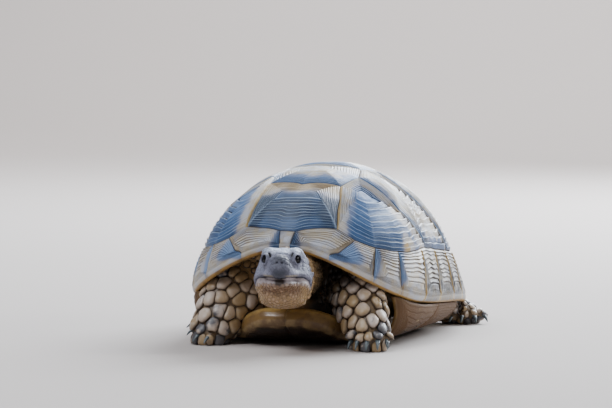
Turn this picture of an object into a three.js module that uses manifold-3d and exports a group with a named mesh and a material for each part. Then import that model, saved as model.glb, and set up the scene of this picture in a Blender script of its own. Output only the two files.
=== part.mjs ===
// A Greek (spur-thighed) tortoise, life size, standing still with its head out.
// Millimetres, +Z up. The animal faces -Y, and its left side is +X.
// Every horny scute is a plate of its own round a solid trunk, and the limbs,
// neck, head, jaw, eyes and tail are solids that meet it with thin gaps.
import * as THREE from "three";
import { mergeVertices } from "three/addons/utils/BufferGeometryUtils.js";
import Module from "manifold-3d";

const wasm = await Module();
wasm.setup();

// ---- driving dimensions -------------------------------------------------

const degree = Math.PI / 180;

// Carapace, in the shell's own level frame: x across, y along, z up from the plastron.
const carapace = {
  halfWidth: 65.3, // at the bridge
  front: 83, // rim ahead of the middle
  rear: 100, // rim behind the middle
  rearFlare: 0.05, // extra width of the hind half
  apexHeight: 88.3,
  apexBack: 11.4, // the highest point lies behind the middle
  frontSquareness: 3.2, // exponent of the outline
  rearSquareness: 2.8,
  rimFront: 42.7, // rim heights
  rimSide: 14.2,
  rimRear: 9.2,
  frontSlope: 64, // steepness of the dome where it meets the rim, in degrees
  sideSlope: 86,
  rearSlope: 54,
  shoulder: 0.96, // below 1 fills out the upper dome
  rimFlare: 0.03, // the lower edge turns outwards behind the bridge
  plate: 4, // thickness of a scute on its bone
  bulge: 0.6, // rise of a scute's middle over its seams
};

// The shell is carried nose-up and clear of the ground.
const stance = { pitch: 3 * degree, lift: 5 };

const plastron = {
  flat: 36, // half width of the flat underside
  bridgeArc: 34, // arc length from there up to the rim
  rimInset: 1.5, // the rim overhangs the bridge by this
  rimGap: 0.9,
  plate: 4,
  sink: 3.2, // the flat underside lies this far below the shell's own level
  lipPlate: 11, // the thick front lip
  lipStart: -50,
  lipRise: 12.2, // its underside sweeps up to the front edge
  lipCurve: 2.2,
  front: -81,
};

const seamGap = 0.25; // each scute draws back from its seam by this
const fleshGap = 0.5; // between a limb and the shell or trunk
const trunkGap = 1.3; // between the trunk and the plates over it
const chord = 11.4; // longest step along a seam
const discUnit = 100; // the dome's surface spans about this for each unit of its disc

// ---- small helpers ------------------------------------------------------

const clamp01 = (t) => Math.min(1, Math.max(0, t));
const ease = (x, a, b) => {
  const t = clamp01((x - a) / (b - a));
  return t * t * (3 - 2 * t);
};
const mix = (a, b, t) => a + (b - a) * t;
const v3 = (x, y, z) => new THREE.Vector3(x, y, z);

// Reverses the faces of a closed mesh that would otherwise point inwards.
function facingOut(geometry) {
  const points = geometry.getAttribute("position");
  const faces = geometry.index.array;
  const corner = (i) => new THREE.Vector3().fromBufferAttribute(points, faces[i]);
  let volume = 0;
  for (let i = 0; i < faces.length; i += 3) {
    volume += corner(i).dot(corner(i + 1).cross(corner(i + 2)));
  }
  if (volume > 0) return geometry;
  for (let i = 0; i < faces.length; i += 3) {
    [faces[i + 1], faces[i + 2]] = [faces[i + 2], faces[i + 1]];
  }
  return geometry;
}

function solidOf(geometry) {
  const bare = geometry.clone();
  bare.deleteAttribute("normal");
  bare.deleteAttribute("uv");
  const merged = facingOut(mergeVertices(bare, 1e-4));
  return new wasm.Manifold(
    new wasm.Mesh({
      numProp: 3,
      vertProperties: merged.attributes.position.array,
      triVerts: new Uint32Array(merged.index.array),
    }),
  );
}

function geometryOf(solid) {
  const mesh = solid.getMesh();
  return new THREE.BufferGeometry()
    .setAttribute("position", new THREE.BufferAttribute(mesh.vertProperties, 3))
    .setIndex(new THREE.BufferAttribute(mesh.triVerts, 1));
}

const largest = (solid) => solid.decompose().sort((a, b) => b.volume() - a.volume())[0];
const union = (solids) => solids.reduce((all, next) => all.add(next));

// Closed rings of points, all of one count, skinned from the first to the last
// and closed by a fan at each end.
function skinnedRings(rings) {
  const count = rings[0].length;
  const middle = (ring) => ring.reduce((sum, p) => sum.add(p), v3(0, 0, 0)).divideScalar(count);
  const points = [...rings.flat(), middle(rings[0]), middle(rings.at(-1))];
  const faces = [];
  for (let r = 0; r + 1 < rings.length; r++) {
    for (let i = 0; i < count; i++) {
      const a = r * count + i;
      const b = r * count + ((i + 1) % count);
      faces.push(a, b, b + count, a, b + count, a + count);
    }
  }
  const last = (rings.length - 1) * count;
  for (let i = 0; i < count; i++) {
    const next = (i + 1) % count;
    faces.push(rings.length * count, next, i);
    faces.push(rings.length * count + 1, last + i, last + next);
  }
  const geometry = new THREE.BufferGeometry().setFromPoints(points);
  geometry.setIndex(faces);
  return geometry;
}

// ---- the carapace surface -----------------------------------------------
// A point of the dome is named by its place on a flat disc seen from above:
// (0, 0) is the apex, radius 1 the rim, -q the front and +p the left.

function rimPoint(theta) {
  const s = Math.sin(theta);
  const c = Math.cos(theta);
  const k = carapace;
  const n = mix(k.frontSquareness, k.rearSquareness, ease(-c, -0.25, 0.25));
  const length = c > 0 ? k.front : k.rear;
  const r = (Math.abs(s / k.halfWidth) ** n + Math.abs(c / length) ** n) ** (-1 / n);
  const y = -r * c;
  const x = r * s * (1 + k.rearFlare * ease(y, -20, 60));
  const rise = (k.rimFront - k.rimSide) * Math.max(c, 0) ** 5.5;
  const drop = (k.rimRear - k.rimSide) * Math.max(-c, 0) ** 3;
  return v3(x, y, k.rimSide + rise + drop);
}

function domePoint(p, q) {
  const theta = Math.atan2(p, -q);
  const rho = Math.hypot(p, q);
  const rim = rimPoint(theta);
  const off = Math.abs(theta) / degree;
  const k = carapace;
  const front = (k.frontSlope - k.sideSlope) * (1 - ease(off, 10, 60));
  const rear = (k.rearSlope - k.sideSlope) * ease(off, 110, 165);
  const slope = (k.sideSlope + front + rear) * degree;
  const behindBridge = ease(off, 60, 100) * (1 - ease(off, 140, 170));
  const flare = k.rimFlare * behindBridge * clamp01((rho - 0.86) / 0.14) ** 2;
  const out = Math.sin(rho * slope) / Math.sin(slope) + flare;
  const fall = (Math.cos(rho * slope) - Math.cos(slope)) / (1 - Math.cos(slope));
  const up = Math.sign(fall) * Math.abs(fall) ** k.shoulder;
  return v3(rim.x * out, mix(k.apexBack, rim.y, out), mix(rim.z, k.apexHeight, up));
}

function carapacePoint(p, q, offset = 0) {
  const point = domePoint(p, q);
  if (offset === 0) return point;
  const e = 1e-3;
  const across = domePoint(p + e, q).sub(domePoint(p - e, q));
  const along = domePoint(p, q + e).sub(domePoint(p, q - e));
  return point.addScaledVector(across.cross(along).normalize(), offset);
}

// ---- the plastron surface -----------------------------------------------
// (s, y): s runs sideways along the surface and y along the animal.

// The rim's point that lies at a given y on the left.
function rimBeside(y) {
  let x = carapace.halfWidth;
  for (let i = 0; i < 3; i++) x = rimPoint(Math.atan2(x, -y)).x;
  return rimPoint(Math.atan2(x, -y));
}

// The underside is level with the ground, under a shell that is tipped nose-up.
const plastronBase = (y) => Math.sin(stance.pitch) * Math.min(y, 60) - plastron.sink;

function plastronPoint(s, y, offset = 0) {
  const k = plastron;
  const at = (s1, y1) => {
    const rim = rimBeside(y1);
    const front = clamp01((k.lipStart - y1) / (k.lipStart - k.front)) ** k.lipCurve;
    const lip = plastronBase(y1) + k.lipRise * front + 3 * ease(y1, 60, 92);
    const turn = (clamp01((Math.abs(s1) - k.flat) / k.bridgeArc) * Math.PI) / 2;
    const reach = rim.x - k.rimInset - k.flat;
    const x = Math.min(Math.abs(s1), k.flat) + reach * Math.sin(turn);
    return v3(Math.sign(s1) * x, y1, mix(rim.z - k.rimGap, lip, Math.cos(turn)));
  };
  const point = at(s, y);
  if (offset === 0) return point;
  const e = 0.05;
  const away = Math.abs(s) > k.flat + k.bridgeArc - 2 * e ? -e : e;
  const across = at(s + Math.sign(s || 1) * away, y).sub(point);
  const along = at(s, y + e).sub(point);
  const normal = along.cross(across).normalize();
  if (normal.z > 0) normal.negate();
  return point.addScaledVector(normal, offset);
}

// ---- scutes -------------------------------------------------------------

// Points along a seam between two named corners, ends included once.
function seamPoints(a, b, length, polar) {
  const steps = Math.max(1, Math.ceil(length / chord));
  const at = (t) => {
    if (!polar) return [mix(a[0], b[0], t), mix(a[1], b[1], t)];
    const ta = Math.atan2(a[0], -a[1]);
    let tb = Math.atan2(b[0], -b[1]);
    if (tb - ta > Math.PI) tb -= 2 * Math.PI;
    if (ta - tb > Math.PI) tb += 2 * Math.PI;
    const rho = mix(Math.hypot(...a), Math.hypot(...b), t);
    const theta = mix(ta, tb, t);
    return [rho * Math.sin(theta), -rho * Math.cos(theta)];
  };
  return Array.from({ length: steps }, (_, i) => at(i / steps));
}

// The outline drawn in by a distance, in the outline's own units.
function drawnIn(outline, distance) {
  const area = outline.reduce((sum, a, i) => {
    const b = outline[(i + 1) % outline.length];
    return sum + a[0] * b[1] - b[0] * a[1];
  }, 0);
  const inward = Math.sign(area);
  return outline.map((point, i) => {
    const before = outline[(i + outline.length - 1) % outline.length];
    const after = outline[(i + 1) % outline.length];
    const normal = (a, b) => {
      const size = Math.hypot(b[0] - a[0], b[1] - a[1]);
      return [(-(b[1] - a[1]) / size) * inward, ((b[0] - a[0]) / size) * inward];
    };
    const n = normal(before, point);
    const m = normal(point, after);
    const sharp = Math.max(0.35, 1 + n[0] * m[0] + n[1] * m[1]);
    return [
      point[0] + (distance * (n[0] + m[0])) / sharp,
      point[1] + (distance * (n[1] + m[1])) / sharp,
    ];
  });
}

// A plate over an outline: rings of the outline shrunk towards its areola,
// raised in the middle on the outside and flat on the inside.
function plateGeometry(outline, areola, surface, plate) {
  const { bulge, thickness, outerRings, innerRings } = plate;
  const ring = (t, offset) =>
    outline.map(([a, b]) => surface(mix(areola[0], a, t), mix(areola[1], b, t), offset(t)));
  const outer = (t) => bulge * (1 - t ** 3);
  const inner = () => -thickness;
  const rings = [
    ...outerRings.map((t) => ring(t, outer)),
    ...[...innerRings].reverse().map((t) => ring(t, inner)),
  ];
  const geometry = skinnedRings(rings);
  const points = geometry.getAttribute("position");
  const crown = surface(areola[0], areola[1], bulge);
  const back = surface(areola[0], areola[1], -thickness);
  points.setXYZ(points.count - 2, crown.x, crown.y, crown.z);
  points.setXYZ(points.count - 1, back.x, back.y, back.z);
  return facingOut(geometry);
}

const polarPoint = (thetaDegrees, rho) => [
  rho * Math.sin(thetaDegrees * degree),
  -rho * Math.cos(thetaDegrees * degree),
];

// Seams across the midline: left corner, middle and right corner of each.
const spineSeams = [
  { left: [0.045, -0.89], right: [-0.045, -0.89] },
  { left: [0.176, -0.441], middle: [-0.02, -0.505], right: [-0.205, -0.392] },
  { left: [0.176, -0.135], middle: [-0.01, -0.16], right: [-0.196, -0.13] },
  { left: [0.18, 0.165], middle: [0, 0.15], right: [-0.185, 0.165] },
  { left: [0.175, 0.47], middle: [0, 0.45], right: [-0.175, 0.47] },
];
// The rest of the seam corners, given for the left half.
const costalTops = [
  [0.207, -0.27],
  [0.245, 0.015],
  [0.24, 0.32],
];
const costalBends = [
  [0.475, -0.318],
  [0.49, 0.06],
  [0.42, 0.41],
];
// Upper corner (angle, radius) and lower angle of each seam between marginals.
const marginalSeams = [
  [2.9, 0.89, 2],
  [26, 0.828, 16.3],
  [34, 0.822, 32],
  [45, 0.8, 44],
  [65, 0.76, 61.5],
  [86, 0.765, 81.5],
  [104, 0.775, 102],
  [118, 0.78, 117],
  [129, 0.785, 129],
  [139, 0.79, 139.5],
  [149, 0.8, 150.5],
  [165, 0.825, 165],
];
const firstVertebralCorner = polarPoint(19, 0.803);
const costalFeet = [polarPoint(72, 0.757), polarPoint(109, 0.775), polarPoint(133, 0.787)];

const mirrored = (points) => points.map(([a, b]) => [-a, b]);
const upper = (i) => polarPoint(marginalSeams[i][0], marginalSeams[i][1]);
const lower = (i) => polarPoint(marginalSeams[i][2], 1);

// Closed outline of a midline scute: its left corners from front to back, a
// point behind, its right corners from back to front and a point ahead.
const midline = (left, behind, right, ahead) => [...left, ...behind, ...right, ...ahead];
const betweenMarginals = (from, to) =>
  Array.from({ length: to - from + 1 }, (_, i) => upper(from + i));

function carapaceScutes() {
  const list = [];
  const add = (name, corners, areola, kind) => list.push({ name, corners, areola, kind });
  const bothSides = (half) => midline(half, [], mirrored(half).reverse(), []);
  add("nuchal", bothSides([lower(0), upper(0)]), [0, -0.94], "marginal");
  for (let i = 0; i < 4; i++) {
    const ahead = spineSeams[i];
    const behind = spineSeams[i + 1];
    const corner = i === 0 ? firstVertebralCorner : costalTops[i - 1];
    const q = i === 0 ? -0.57 : mix(ahead.left[1], behind.left[1], 0.58);
    add(
      `vertebral_${i + 1}`,
      midline(
        [ahead.left, corner, behind.left],
        [behind.middle],
        [behind.right, ...mirrored([corner]), ahead.right],
        i === 0 ? [] : [ahead.middle],
      ),
      [i < 2 ? -0.01 : 0, q],
      "vertebral",
    );
  }
  const last = spineSeams[4];
  add(
    "vertebral_5",
    midline([last.left, upper(11)], [], [...mirrored([upper(11)]), last.right], [last.middle]),
    [0, 0.6],
    "vertebral",
  );
  add("supracaudal", bothSides([upper(11), lower(11)]), [0, 0.9], "marginal");

  const [top1, top2, top3] = costalTops;
  const [bend1, bend2, bend3] = costalBends;
  const [foot1, foot2, foot3] = costalFeet;
  const costals = ([, corner1, corner2, corner3, corner4]) => [
    [
      [corner1, firstVertebralCorner, ...betweenMarginals(1, 4), foot1, bend1, top1],
      [0.4, -0.46],
    ],
    [
      [corner2, top1, bend1, foot1, ...betweenMarginals(5, 6), foot2, bend2, top2],
      [0.42, -0.12],
    ],
    [
      [corner3, top2, bend2, foot2, ...betweenMarginals(7, 8), foot3, bend3, top3],
      [0.41, 0.22],
    ],
    [[corner4, top3, bend3, foot3, ...betweenMarginals(9, 11)], [0.34, 0.54]],
  ];
  for (const [side, flip] of [
    ["left", (x) => x],
    ["right", mirrored],
  ]) {
    const spine = flip(spineSeams.map((seam) => seam[side]));
    costals(spine).forEach(([corners, areola], i) => {
      add(`costal_${side}_${i + 1}`, flip(corners), flip([areola])[0], "costal");
    });
    for (let i = 0; i < 11; i++) {
      const inner = [upper(i)];
      if (i === 0) inner.push(firstVertebralCorner);
      if (i === 4) inner.push(foot1);
      if (i === 6) inner.push(foot2);
      if (i === 8) inner.push(foot3);
      const corners = [...inner, upper(i + 1), lower(i + 1), lower(i)];
      const thetaMid = mix(marginalSeams[i][2], marginalSeams[i + 1][2], 0.6);
      add(
        `marginal_${side}_${i + 1}`,
        flip(corners),
        flip([polarPoint(thetaMid, 0.93)])[0],
        "marginal",
      );
    }
  }
  return list;
}

function carapaceMesh({ corners, areola, kind }) {
  const outline = corners.flatMap((a, i) => {
    const b = corners[(i + 1) % corners.length];
    const length = domePoint(...a).distanceTo(domePoint(...b));
    const polar = Math.hypot(...a) > 0.74 && Math.hypot(...b) > 0.74;
    return seamPoints(a, b, length, polar);
  });
  const small = kind === "marginal";
  return plateGeometry(drawnIn(outline, seamGap / discUnit), areola, carapacePoint, {
    bulge: small ? 0.9 : carapace.bulge,
    thickness: carapace.plate,
    outerRings: small ? [1] : [0.5, 1],
    innerRings: small ? [1] : [0.6, 1],
  });
}

// Left half of the plastron: corners in (s, y), from the front to the back.
const shieldSeams = {
  gularTip: [15, -81],
  gularSide: [26, -73],
  gularBack: [0.001, -60],
  humeralSide: [33, -55],
  humeralBack: [0.001, -36],
  axilla: [42, -50],
  bridgeFront: [70, -62],
  pectoralBack: [0.001, -22],
  pectoralSide: [38, -20],
  bridgeMiddle: [70, -6],
  bridgeBack: [70, 36],
  groin: [38, 41],
  abdominalBack: [0.001, 34],
  femoralSide: [33, 66],
  femoralBack: [0.001, 56],
  analTip: [14, 85],
  analNotch: [0.001, 77],
};

function plastronScutes() {
  const k = shieldSeams;
  const scutes = {
    gular: [[[0.001, -81], k.gularTip, k.gularSide, k.gularBack], [8, -74]],
    humeral: [[k.gularBack, k.gularSide, k.humeralSide, k.axilla, k.humeralBack], [18, -53]],
    pectoral: [
      [k.humeralBack, k.axilla, k.bridgeFront, k.bridgeMiddle, k.pectoralSide, k.pectoralBack],
      [34, -30],
    ],
    abdominal: [
      [k.pectoralBack, k.pectoralSide, k.bridgeMiddle, k.bridgeBack, k.groin, k.abdominalBack],
      [30, 10],
    ],
    femoral: [[k.abdominalBack, k.groin, k.femoralSide, k.femoralBack], [18, 50]],
    anal: [[k.femoralBack, k.femoralSide, k.analTip, k.analNotch], [13, 70]],
  };
  return ["left", "right"].flatMap((side) =>
    Object.entries(scutes).map(([name, [corners, areola]]) => ({
      name: `${name}_${side}`,
      corners: side === "left" ? corners : mirrored(corners),
      areola: side === "left" ? areola : [-areola[0], areola[1]],
    })),
  );
}

function plastronMesh({ name, corners, areola }) {
  const outline = corners.flatMap((a, i) => {
    const b = corners[(i + 1) % corners.length];
    return seamPoints(a, b, Math.hypot(b[0] - a[0], b[1] - a[1]), false);
  });
  const bends = /pectoral|abdominal/.test(name);
  return plateGeometry(drawnIn(outline, seamGap), areola, plastronPoint, {
    bulge: 0.3,
    thickness: name.startsWith("gular") ? plastron.lipPlate : plastron.plate,
    outerRings: bends ? [0.5, 1] : [1],
    innerRings: bends ? [0.5, 1] : [1],
  });
}

// ---- the shell as whole solids, for cutting the flesh -------------------

function gridRings(thetaSteps, rows) {
  return rows.map((row) =>
    Array.from({ length: thetaSteps }, (_, i) => row((i / thetaSteps) * 2 * Math.PI - Math.PI)),
  );
}

function carapaceEnvelope(outside, inside) {
  const onDisc = (rho, offset) => (theta) =>
    carapacePoint(rho * Math.sin(theta), -rho * Math.cos(theta), offset);
  const steps = [0.03, 0.2, 0.4, 0.6, 0.75, 0.88, 1.01];
  const rows = [
    ...steps.map((rho) => onDisc(rho, outside)),
    ...[...steps].reverse().map((rho) => onDisc(rho, inside)),
  ];
  return solidOf(skinnedRings(gridRings(72, rows)));
}

function plastronEnvelope(margin) {
  const stations = [-81, -77, -72, -67, -63, -56, -44, -20, 0, 20, 38, 44, 60, 75, 85];
  const halfWidths = [18, 25, 29, 32, 70, 70, 70, 70, 70, 70, 70, 40, 36, 30, 16];
  const across = [-1, -0.85, -0.7, -0.5, 0, 0.5, 0.7, 0.85, 1];
  const rings = stations.map((y, i) => {
    const thickness = y < -60 ? plastron.lipPlate : plastron.plate;
    const stretch = i === 0 || i === stations.length - 1 ? margin : 0;
    const yOut = y + Math.sign(y) * stretch;
    const below = across.map((u) => plastronPoint(u * halfWidths[i] + 1e-3, yOut, margin));
    const above = [...across]
      .reverse()
      .map((u) => plastronPoint(u * halfWidths[i] + 1e-3, yOut, -thickness - margin));
    return [...below, ...above];
  });
  return solidOf(skinnedRings(rings));
}

// ---- the trunk ----------------------------------------------------------
// The body inside the shell: it backs every plate and stands back from the
// front and rear openings.

function trunkSolid(growth) {
  const depth = -(carapace.plate + trunkGap) + growth;
  const edge = (theta) => {
    const off = Math.abs(theta) / degree;
    const side = ease(off, 48, 72) * (1 - ease(off, 112, 138));
    return mix(0.7, 0.9, side);
  };
  const onDome = (share) => (theta) => {
    const rho = share * edge(theta);
    return carapacePoint(rho * Math.sin(theta), -rho * Math.cos(theta), depth);
  };
  const floorAt = (share, height) => (theta) => {
    const rim = rimPoint(theta);
    const off = Math.abs(theta) / degree;
    const behind = ease(off, 100, 160);
    const reach = share * (0.6 + 0.16 * behind + growth / 50);
    const base = plastronBase(rim.y * reach) + plastron.plate;
    return v3(rim.x * reach, rim.y * reach, base + height - growth);
  };
  const rows = [
    onDome(0.04),
    onDome(0.3),
    onDome(0.6),
    onDome(0.85),
    onDome(1),
    floorAt(1, 3.5),
    floorAt(0.6, 1.2),
    floorAt(0.05, 1.2),
  ];
  return solidOf(skinnedRings(gridRings(24, rows)));
}

// ---- flesh: tapering tubes and ovals ------------------------------------

// A tube through stations [x, y, z, halfWidth, halfDepth], round-ended.
// "across" is the direction in which halfWidth is measured.
function tube(stations, across, sides = 14, stepsPerSpan = 2) {
  const path = new THREE.CatmullRomCurve3(stations.map(([x, y, z]) => v3(x, y, z)));
  const spans = stations.length - 1;
  const total = spans * stepsPerSpan;
  const sizeAt = (t, k) => {
    const i = Math.min(Math.floor(t * spans), spans - 1);
    const u = t * spans - i;
    return mix(stations[i][k], stations[i + 1][k], u * u * (3 - 2 * u));
  };
  const section = (t, scale, shift) => {
    const tangent = path.getTangent(t).normalize();
    const centre = path.getPoint(t).addScaledVector(tangent, shift);
    const wide = across.clone().addScaledVector(tangent, -across.dot(tangent)).normalize();
    const deep = tangent.clone().cross(wide);
    return Array.from({ length: sides }, (_, i) => {
      const turn = (i / sides) * 2 * Math.PI;
      return centre
        .clone()
        .addScaledVector(wide, Math.cos(turn) * sizeAt(t, 3) * scale)
        .addScaledVector(deep, Math.sin(turn) * sizeAt(t, 4) * scale);
    });
  };
  const rings = [];
  const end = (t, sign) => section(t, 0.7, sign * Math.min(sizeAt(t, 3), sizeAt(t, 4)) * 0.6);
  rings.push(end(0, -1));
  for (let i = 0; i <= total; i++) rings.push(section(i / total, 1, 0));
  rings.push(end(1, 1));
  return solidOf(skinnedRings(rings));
}

// An oval with its own three half sizes, turned by yaw about Z and pitch about X.
function oval(centre, halfSizes, turn = {}, detail = [10, 6]) {
  const geometry = new THREE.SphereGeometry(1, detail[0], detail[1]);
  geometry.scale(...halfSizes);
  geometry.rotateX(turn.pitch ?? 0);
  geometry.rotateZ(turn.yaw ?? 0);
  geometry.translate(...centre);
  return solidOf(geometry);
}

// A claw: a flattened cone that bends down from its root to its tip.
function claw(root, tip, radius) {
  const a = v3(...root);
  const b = v3(...tip);
  const middle = a.clone().lerp(b, 0.5).add(v3(0, 0, radius * 0.5));
  const at = (p, size) => [p.x, p.y, p.z, size, size * 0.8];
  const side = b.clone().sub(a).cross(v3(0, 0, 1)).normalize();
  return tube([at(a, radius), at(middle, radius * 0.8), at(b, radius * 0.3)], side, 5, 1);
}

// Cuts a flat sole at the ground.
function onGround(solid) {
  const slab = new THREE.BoxGeometry(600, 600, 60);
  slab.translate(0, 0, -30);
  return solid.subtract(solidOf(slab));
}

const mirrorX = (stations) => stations.map(([x, ...rest]) => [-x, ...rest]);

const forelegLeft = {
  arm: [
    [18, -40, 35, 13, 11],
    [26, -50, 33, 15, 11],
    [33, -59, 26, 15, 10.5],
    [39.5, -68, 16, 13.2, 10],
    [43.5, -74, 8, 10.6, 9.5],
    [45, -76, 3, 9.6, 9.5],
  ],
  across: v3(1, -0.15, 0.5),
  claws: [
    [[37, -79.5, 5.5], [35.8, -86, 1.2]],
    [[41, -82, 6], [40.6, -89, 1.2]],
    [[45.8, -82.5, 6], [46.4, -89.5, 1.2]],
    [[50.4, -80.5, 6], [52, -87.5, 1.2]],
    [[53, -76, 6], [56, -82, 1.2]],
  ],
};

const forelegRight = {
  arm: [
    [-20, -38, 35, 13, 11],
    [-27, -49, 33, 15.5, 11.5],
    [-33, -57, 26, 16, 11],
    [-38.5, -63, 16, 14.5, 10.5],
    [-42, -67, 8, 11.5, 10.5],
    [-43.5, -68, 3, 10.5, 10.5],
  ],
  across: v3(1, 0.3, -0.5),
  claws: [
    [[-41, -76, 4.5], [-43, -83, 1.2]],
    [[-46, -75, 5.5], [-50, -80.5, 1.5]],
    [[-50, -72, 7.5], [-55, -75.5, 4.5]],
    [[-51.5, -68, 10], [-57, -70, 8]],
    [[-50.5, -63.5, 12.5], [-56, -64, 11.5]],
  ],
};

const hindleg = {
  arm: [
    [26, 48, 27, 13, 12],
    [37, 58, 21, 14, 12],
    [45, 65, 13, 12, 9.5],
    [55, 72, 7, 10.5, 8],
    [60, 75, 3, 10, 8.5],
  ],
  across: v3(1, -0.6, 0.5),
  claws: [
    [[55, 67.5, 4.5], [54, 61, 1.2]],
    [[60.5, 66.5, 5], [61, 60, 1.2]],
    [[66, 69, 5.2], [69, 63.5, 1.2]],
    [[69.5, 73.5, 5], [74, 70.5, 1.2]],
  ],
};

const moved = (leg, [dx, dy]) => ({
  arm: leg.arm.map(([x, y, z, a, b], i) => {
    const share = i / (leg.arm.length - 1);
    return [x + dx * share, y + dy * share, z, a, b];
  }),
  across: leg.across,
  claws: leg.claws.map((ends) => ends.map(([x, y, z]) => [x + dx, y + dy, z])),
});
const flipped = (leg) => ({
  arm: mirrorX(leg.arm),
  across: v3(-leg.across.x, leg.across.y, leg.across.z),
  claws: leg.claws.map(mirrorX),
});

function legSolid(leg, obstacles) {
  const limb = tube(leg.arm, leg.across, 11, 2);
  const claws = leg.claws.map(([root, tip]) => claw(root, tip, 2.3));
  return largest(onGround(union([limb, ...claws])).subtract(obstacles));
}

// ---- head, neck and tail ------------------------------------------------

const head = {
  pivot: v3(4.8, -97, 44), // middle of the skull
  yaw: 11 * degree, // towards the animal's left
  pitch: 9 * degree, // nose up
  eyeRadius: 3.4,
  eyeCentre: [6.2, -10.6, 2.6], // left eye in the head's frame
  mouthGap: 0.4,
};

// Ovals in the head's own frame: +X its left, -Y ahead, +Z up.
const skullOvals = [
  [[0, 2, 0], [13, 16, 10]], // brain case
  [[0, -8, 0.8], [8.7, 11.5, 8.2]], // face
  [[0, -15, -1.4], [5.8, 6.6, 5.6]], // snout
  [[5.6, -8.4, 5.9], [4.4, 6.6, 3]], // brow, mirrored
  [[8.6, -2.5, -6], [6.4, 10.5, 7]], // cheek, mirrored
];
const jawOvals = [
  [[0, -7.5, -10.6], [9.8, 12.4, 5.4]],
  [[7.4, -0.5, -10.6], [7.6, 11, 7.4]], // corner of the jaw, mirrored
  [[0, 2.5, -13.3], [12.3, 13.2, 8.2]], // throat
];
const neckStations = [
  [0, -52, 37, 17, 15],
  [1, -68, 38, 15, 14.5],
  [3, -82, 39.5, 13.4, 13.6],
  [4.5, -92, 40, 12.6, 12.6],
];

function inHeadFrame([x, y, z]) {
  return v3(x, y, z)
    .applyAxisAngle(v3(1, 0, 0), -head.pitch)
    .applyAxisAngle(v3(0, 0, 1), head.yaw)
    .add(head.pivot);
}

function headOvals(list, grow = 0) {
  const made = list.flatMap(([centre, size]) => {
    const sides = centre[0] === 0 ? [1] : [1, -1];
    return sides.map((side) =>
      oval(
        inHeadFrame([centre[0] * side, centre[1], centre[2]]).toArray(),
        size.map((s) => s + grow),
        { pitch: -head.pitch, yaw: head.yaw },
      ),
    );
  });
  return union(made);
}

// The wedge that lies below the mouth: a bent sheet from the beak to the ear.
function mouthWedge(shift) {
  const line = [
    [-30, -6.4],
    [-19, -7.6],
    [-12, -6.6],
    [-5, -8],
    [2, -11],
    [20, -11],
  ];
  const outline = new THREE.Shape();
  outline.moveTo(-30, -45);
  line.forEach(([y, z]) => outline.lineTo(y, z + shift));
  outline.lineTo(20, -45);
  const wedge = new THREE.ExtrudeGeometry(outline, { depth: 60, bevelEnabled: false });
  // The shape is drawn in (y, z) and pulled along x.
  const turn = new THREE.Matrix4().makeBasis(v3(0, 1, 0), v3(0, 0, 1), v3(1, 0, 0));
  wedge.applyMatrix4(turn);
  wedge.translate(-30, 0, 0);
  wedge.rotateX(-head.pitch);
  wedge.rotateZ(head.yaw);
  wedge.translate(...head.pivot.toArray());
  return solidOf(wedge);
}

function eyeSolid(side, radius) {
  const [x, y, z] = head.eyeCentre;
  const centre = inHeadFrame([x * side, y, z]);
  const sphere = new THREE.SphereGeometry(radius, 10, 7);
  sphere.translate(...centre.toArray());
  return solidOf(sphere);
}

const tailStations = [
  [0, 68, 24, 9, 8],
  [1, 82, 18, 7, 6.5],
  [3, 92, 12, 4.6, 4.4],
  [6, 98, 7.5, 2.2, 2.2],
];

// ---- assembly -----------------------------------------------------------

const horn = { roughness: 0.45, metalness: 0 };
const materials = {
  scute: new THREE.MeshStandardMaterial({ color: 0x8f8873, ...horn }),
  plastron: new THREE.MeshStandardMaterial({ color: 0x8a7350, ...horn }),
  skin: new THREE.MeshStandardMaterial({ color: 0x6d5b4b, roughness: 0.75, metalness: 0 }),
  head: new THREE.MeshStandardMaterial({ color: 0x5d5a62, roughness: 0.55, metalness: 0 }),
  eye: new THREE.MeshStandardMaterial({ color: 0x0c0b0d, roughness: 0.08, metalness: 0 }),
};

const tortoise = new THREE.Group();
const shell = new THREE.Group();
shell.rotation.x = -stance.pitch;
shell.position.z = stance.lift;
tortoise.add(shell);

function addMesh(parent, name, geometry, material) {
  const mesh = new THREE.Mesh(geometry, material);
  mesh.name = name;
  parent.add(mesh);
}

for (const scute of carapaceScutes()) {
  addMesh(shell, scute.name, carapaceMesh(scute), materials.scute);
}
for (const scute of plastronScutes()) {
  addMesh(shell, scute.name, plastronMesh(scute), materials.plastron);
}
addMesh(shell, "trunk", geometryOf(trunkSolid(0)), materials.skin);

// Space that the limbs, neck and tail keep clear of, in the ground's frame.
shell.updateMatrix();
const place = (solid) => solid.transform(shell.matrix.elements);
const keepOut = union([
  place(carapaceEnvelope(carapace.bulge + fleshGap, -carapace.plate - trunkGap)),
  place(plastronEnvelope(fleshGap)),
  place(trunkSolid(fleshGap)),
]);

const neckTube = (grow) =>
  tube(
    neckStations.map(([x, y, z, a, b]) => [x, y, z, a + grow, b + grow]),
    v3(1, 0, 0),
    14,
    1,
  );
const pastNeck = keepOut.add(neckTube(fleshGap));
const legs = {
  foreleg_left: legSolid(forelegLeft, pastNeck),
  foreleg_right: legSolid(forelegRight, pastNeck),
  hindleg_left: legSolid(hindleg, keepOut),
  hindleg_right: legSolid(flipped(moved(hindleg, [-4, -12])), keepOut),
};
for (const [name, leg] of Object.entries(legs)) {
  addMesh(tortoise, name, geometryOf(leg), materials.skin);
}

const eyes = [1, -1].map((side) => eyeSolid(side, head.eyeRadius));
const sockets = union([1, -1].map((side) => eyeSolid(side, head.eyeRadius + 0.3)));
const upperHead = headOvals(skullOvals).subtract(mouthWedge(0)).subtract(sockets);
const wholeJaw = headOvals([...skullOvals, ...jawOvals]).intersect(mouthWedge(-head.mouthGap));
const headAndJaw = headOvals([...skullOvals, ...jawOvals], 0.4);
const neck = neckTube(0).subtract(keepOut).subtract(headAndJaw);

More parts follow.
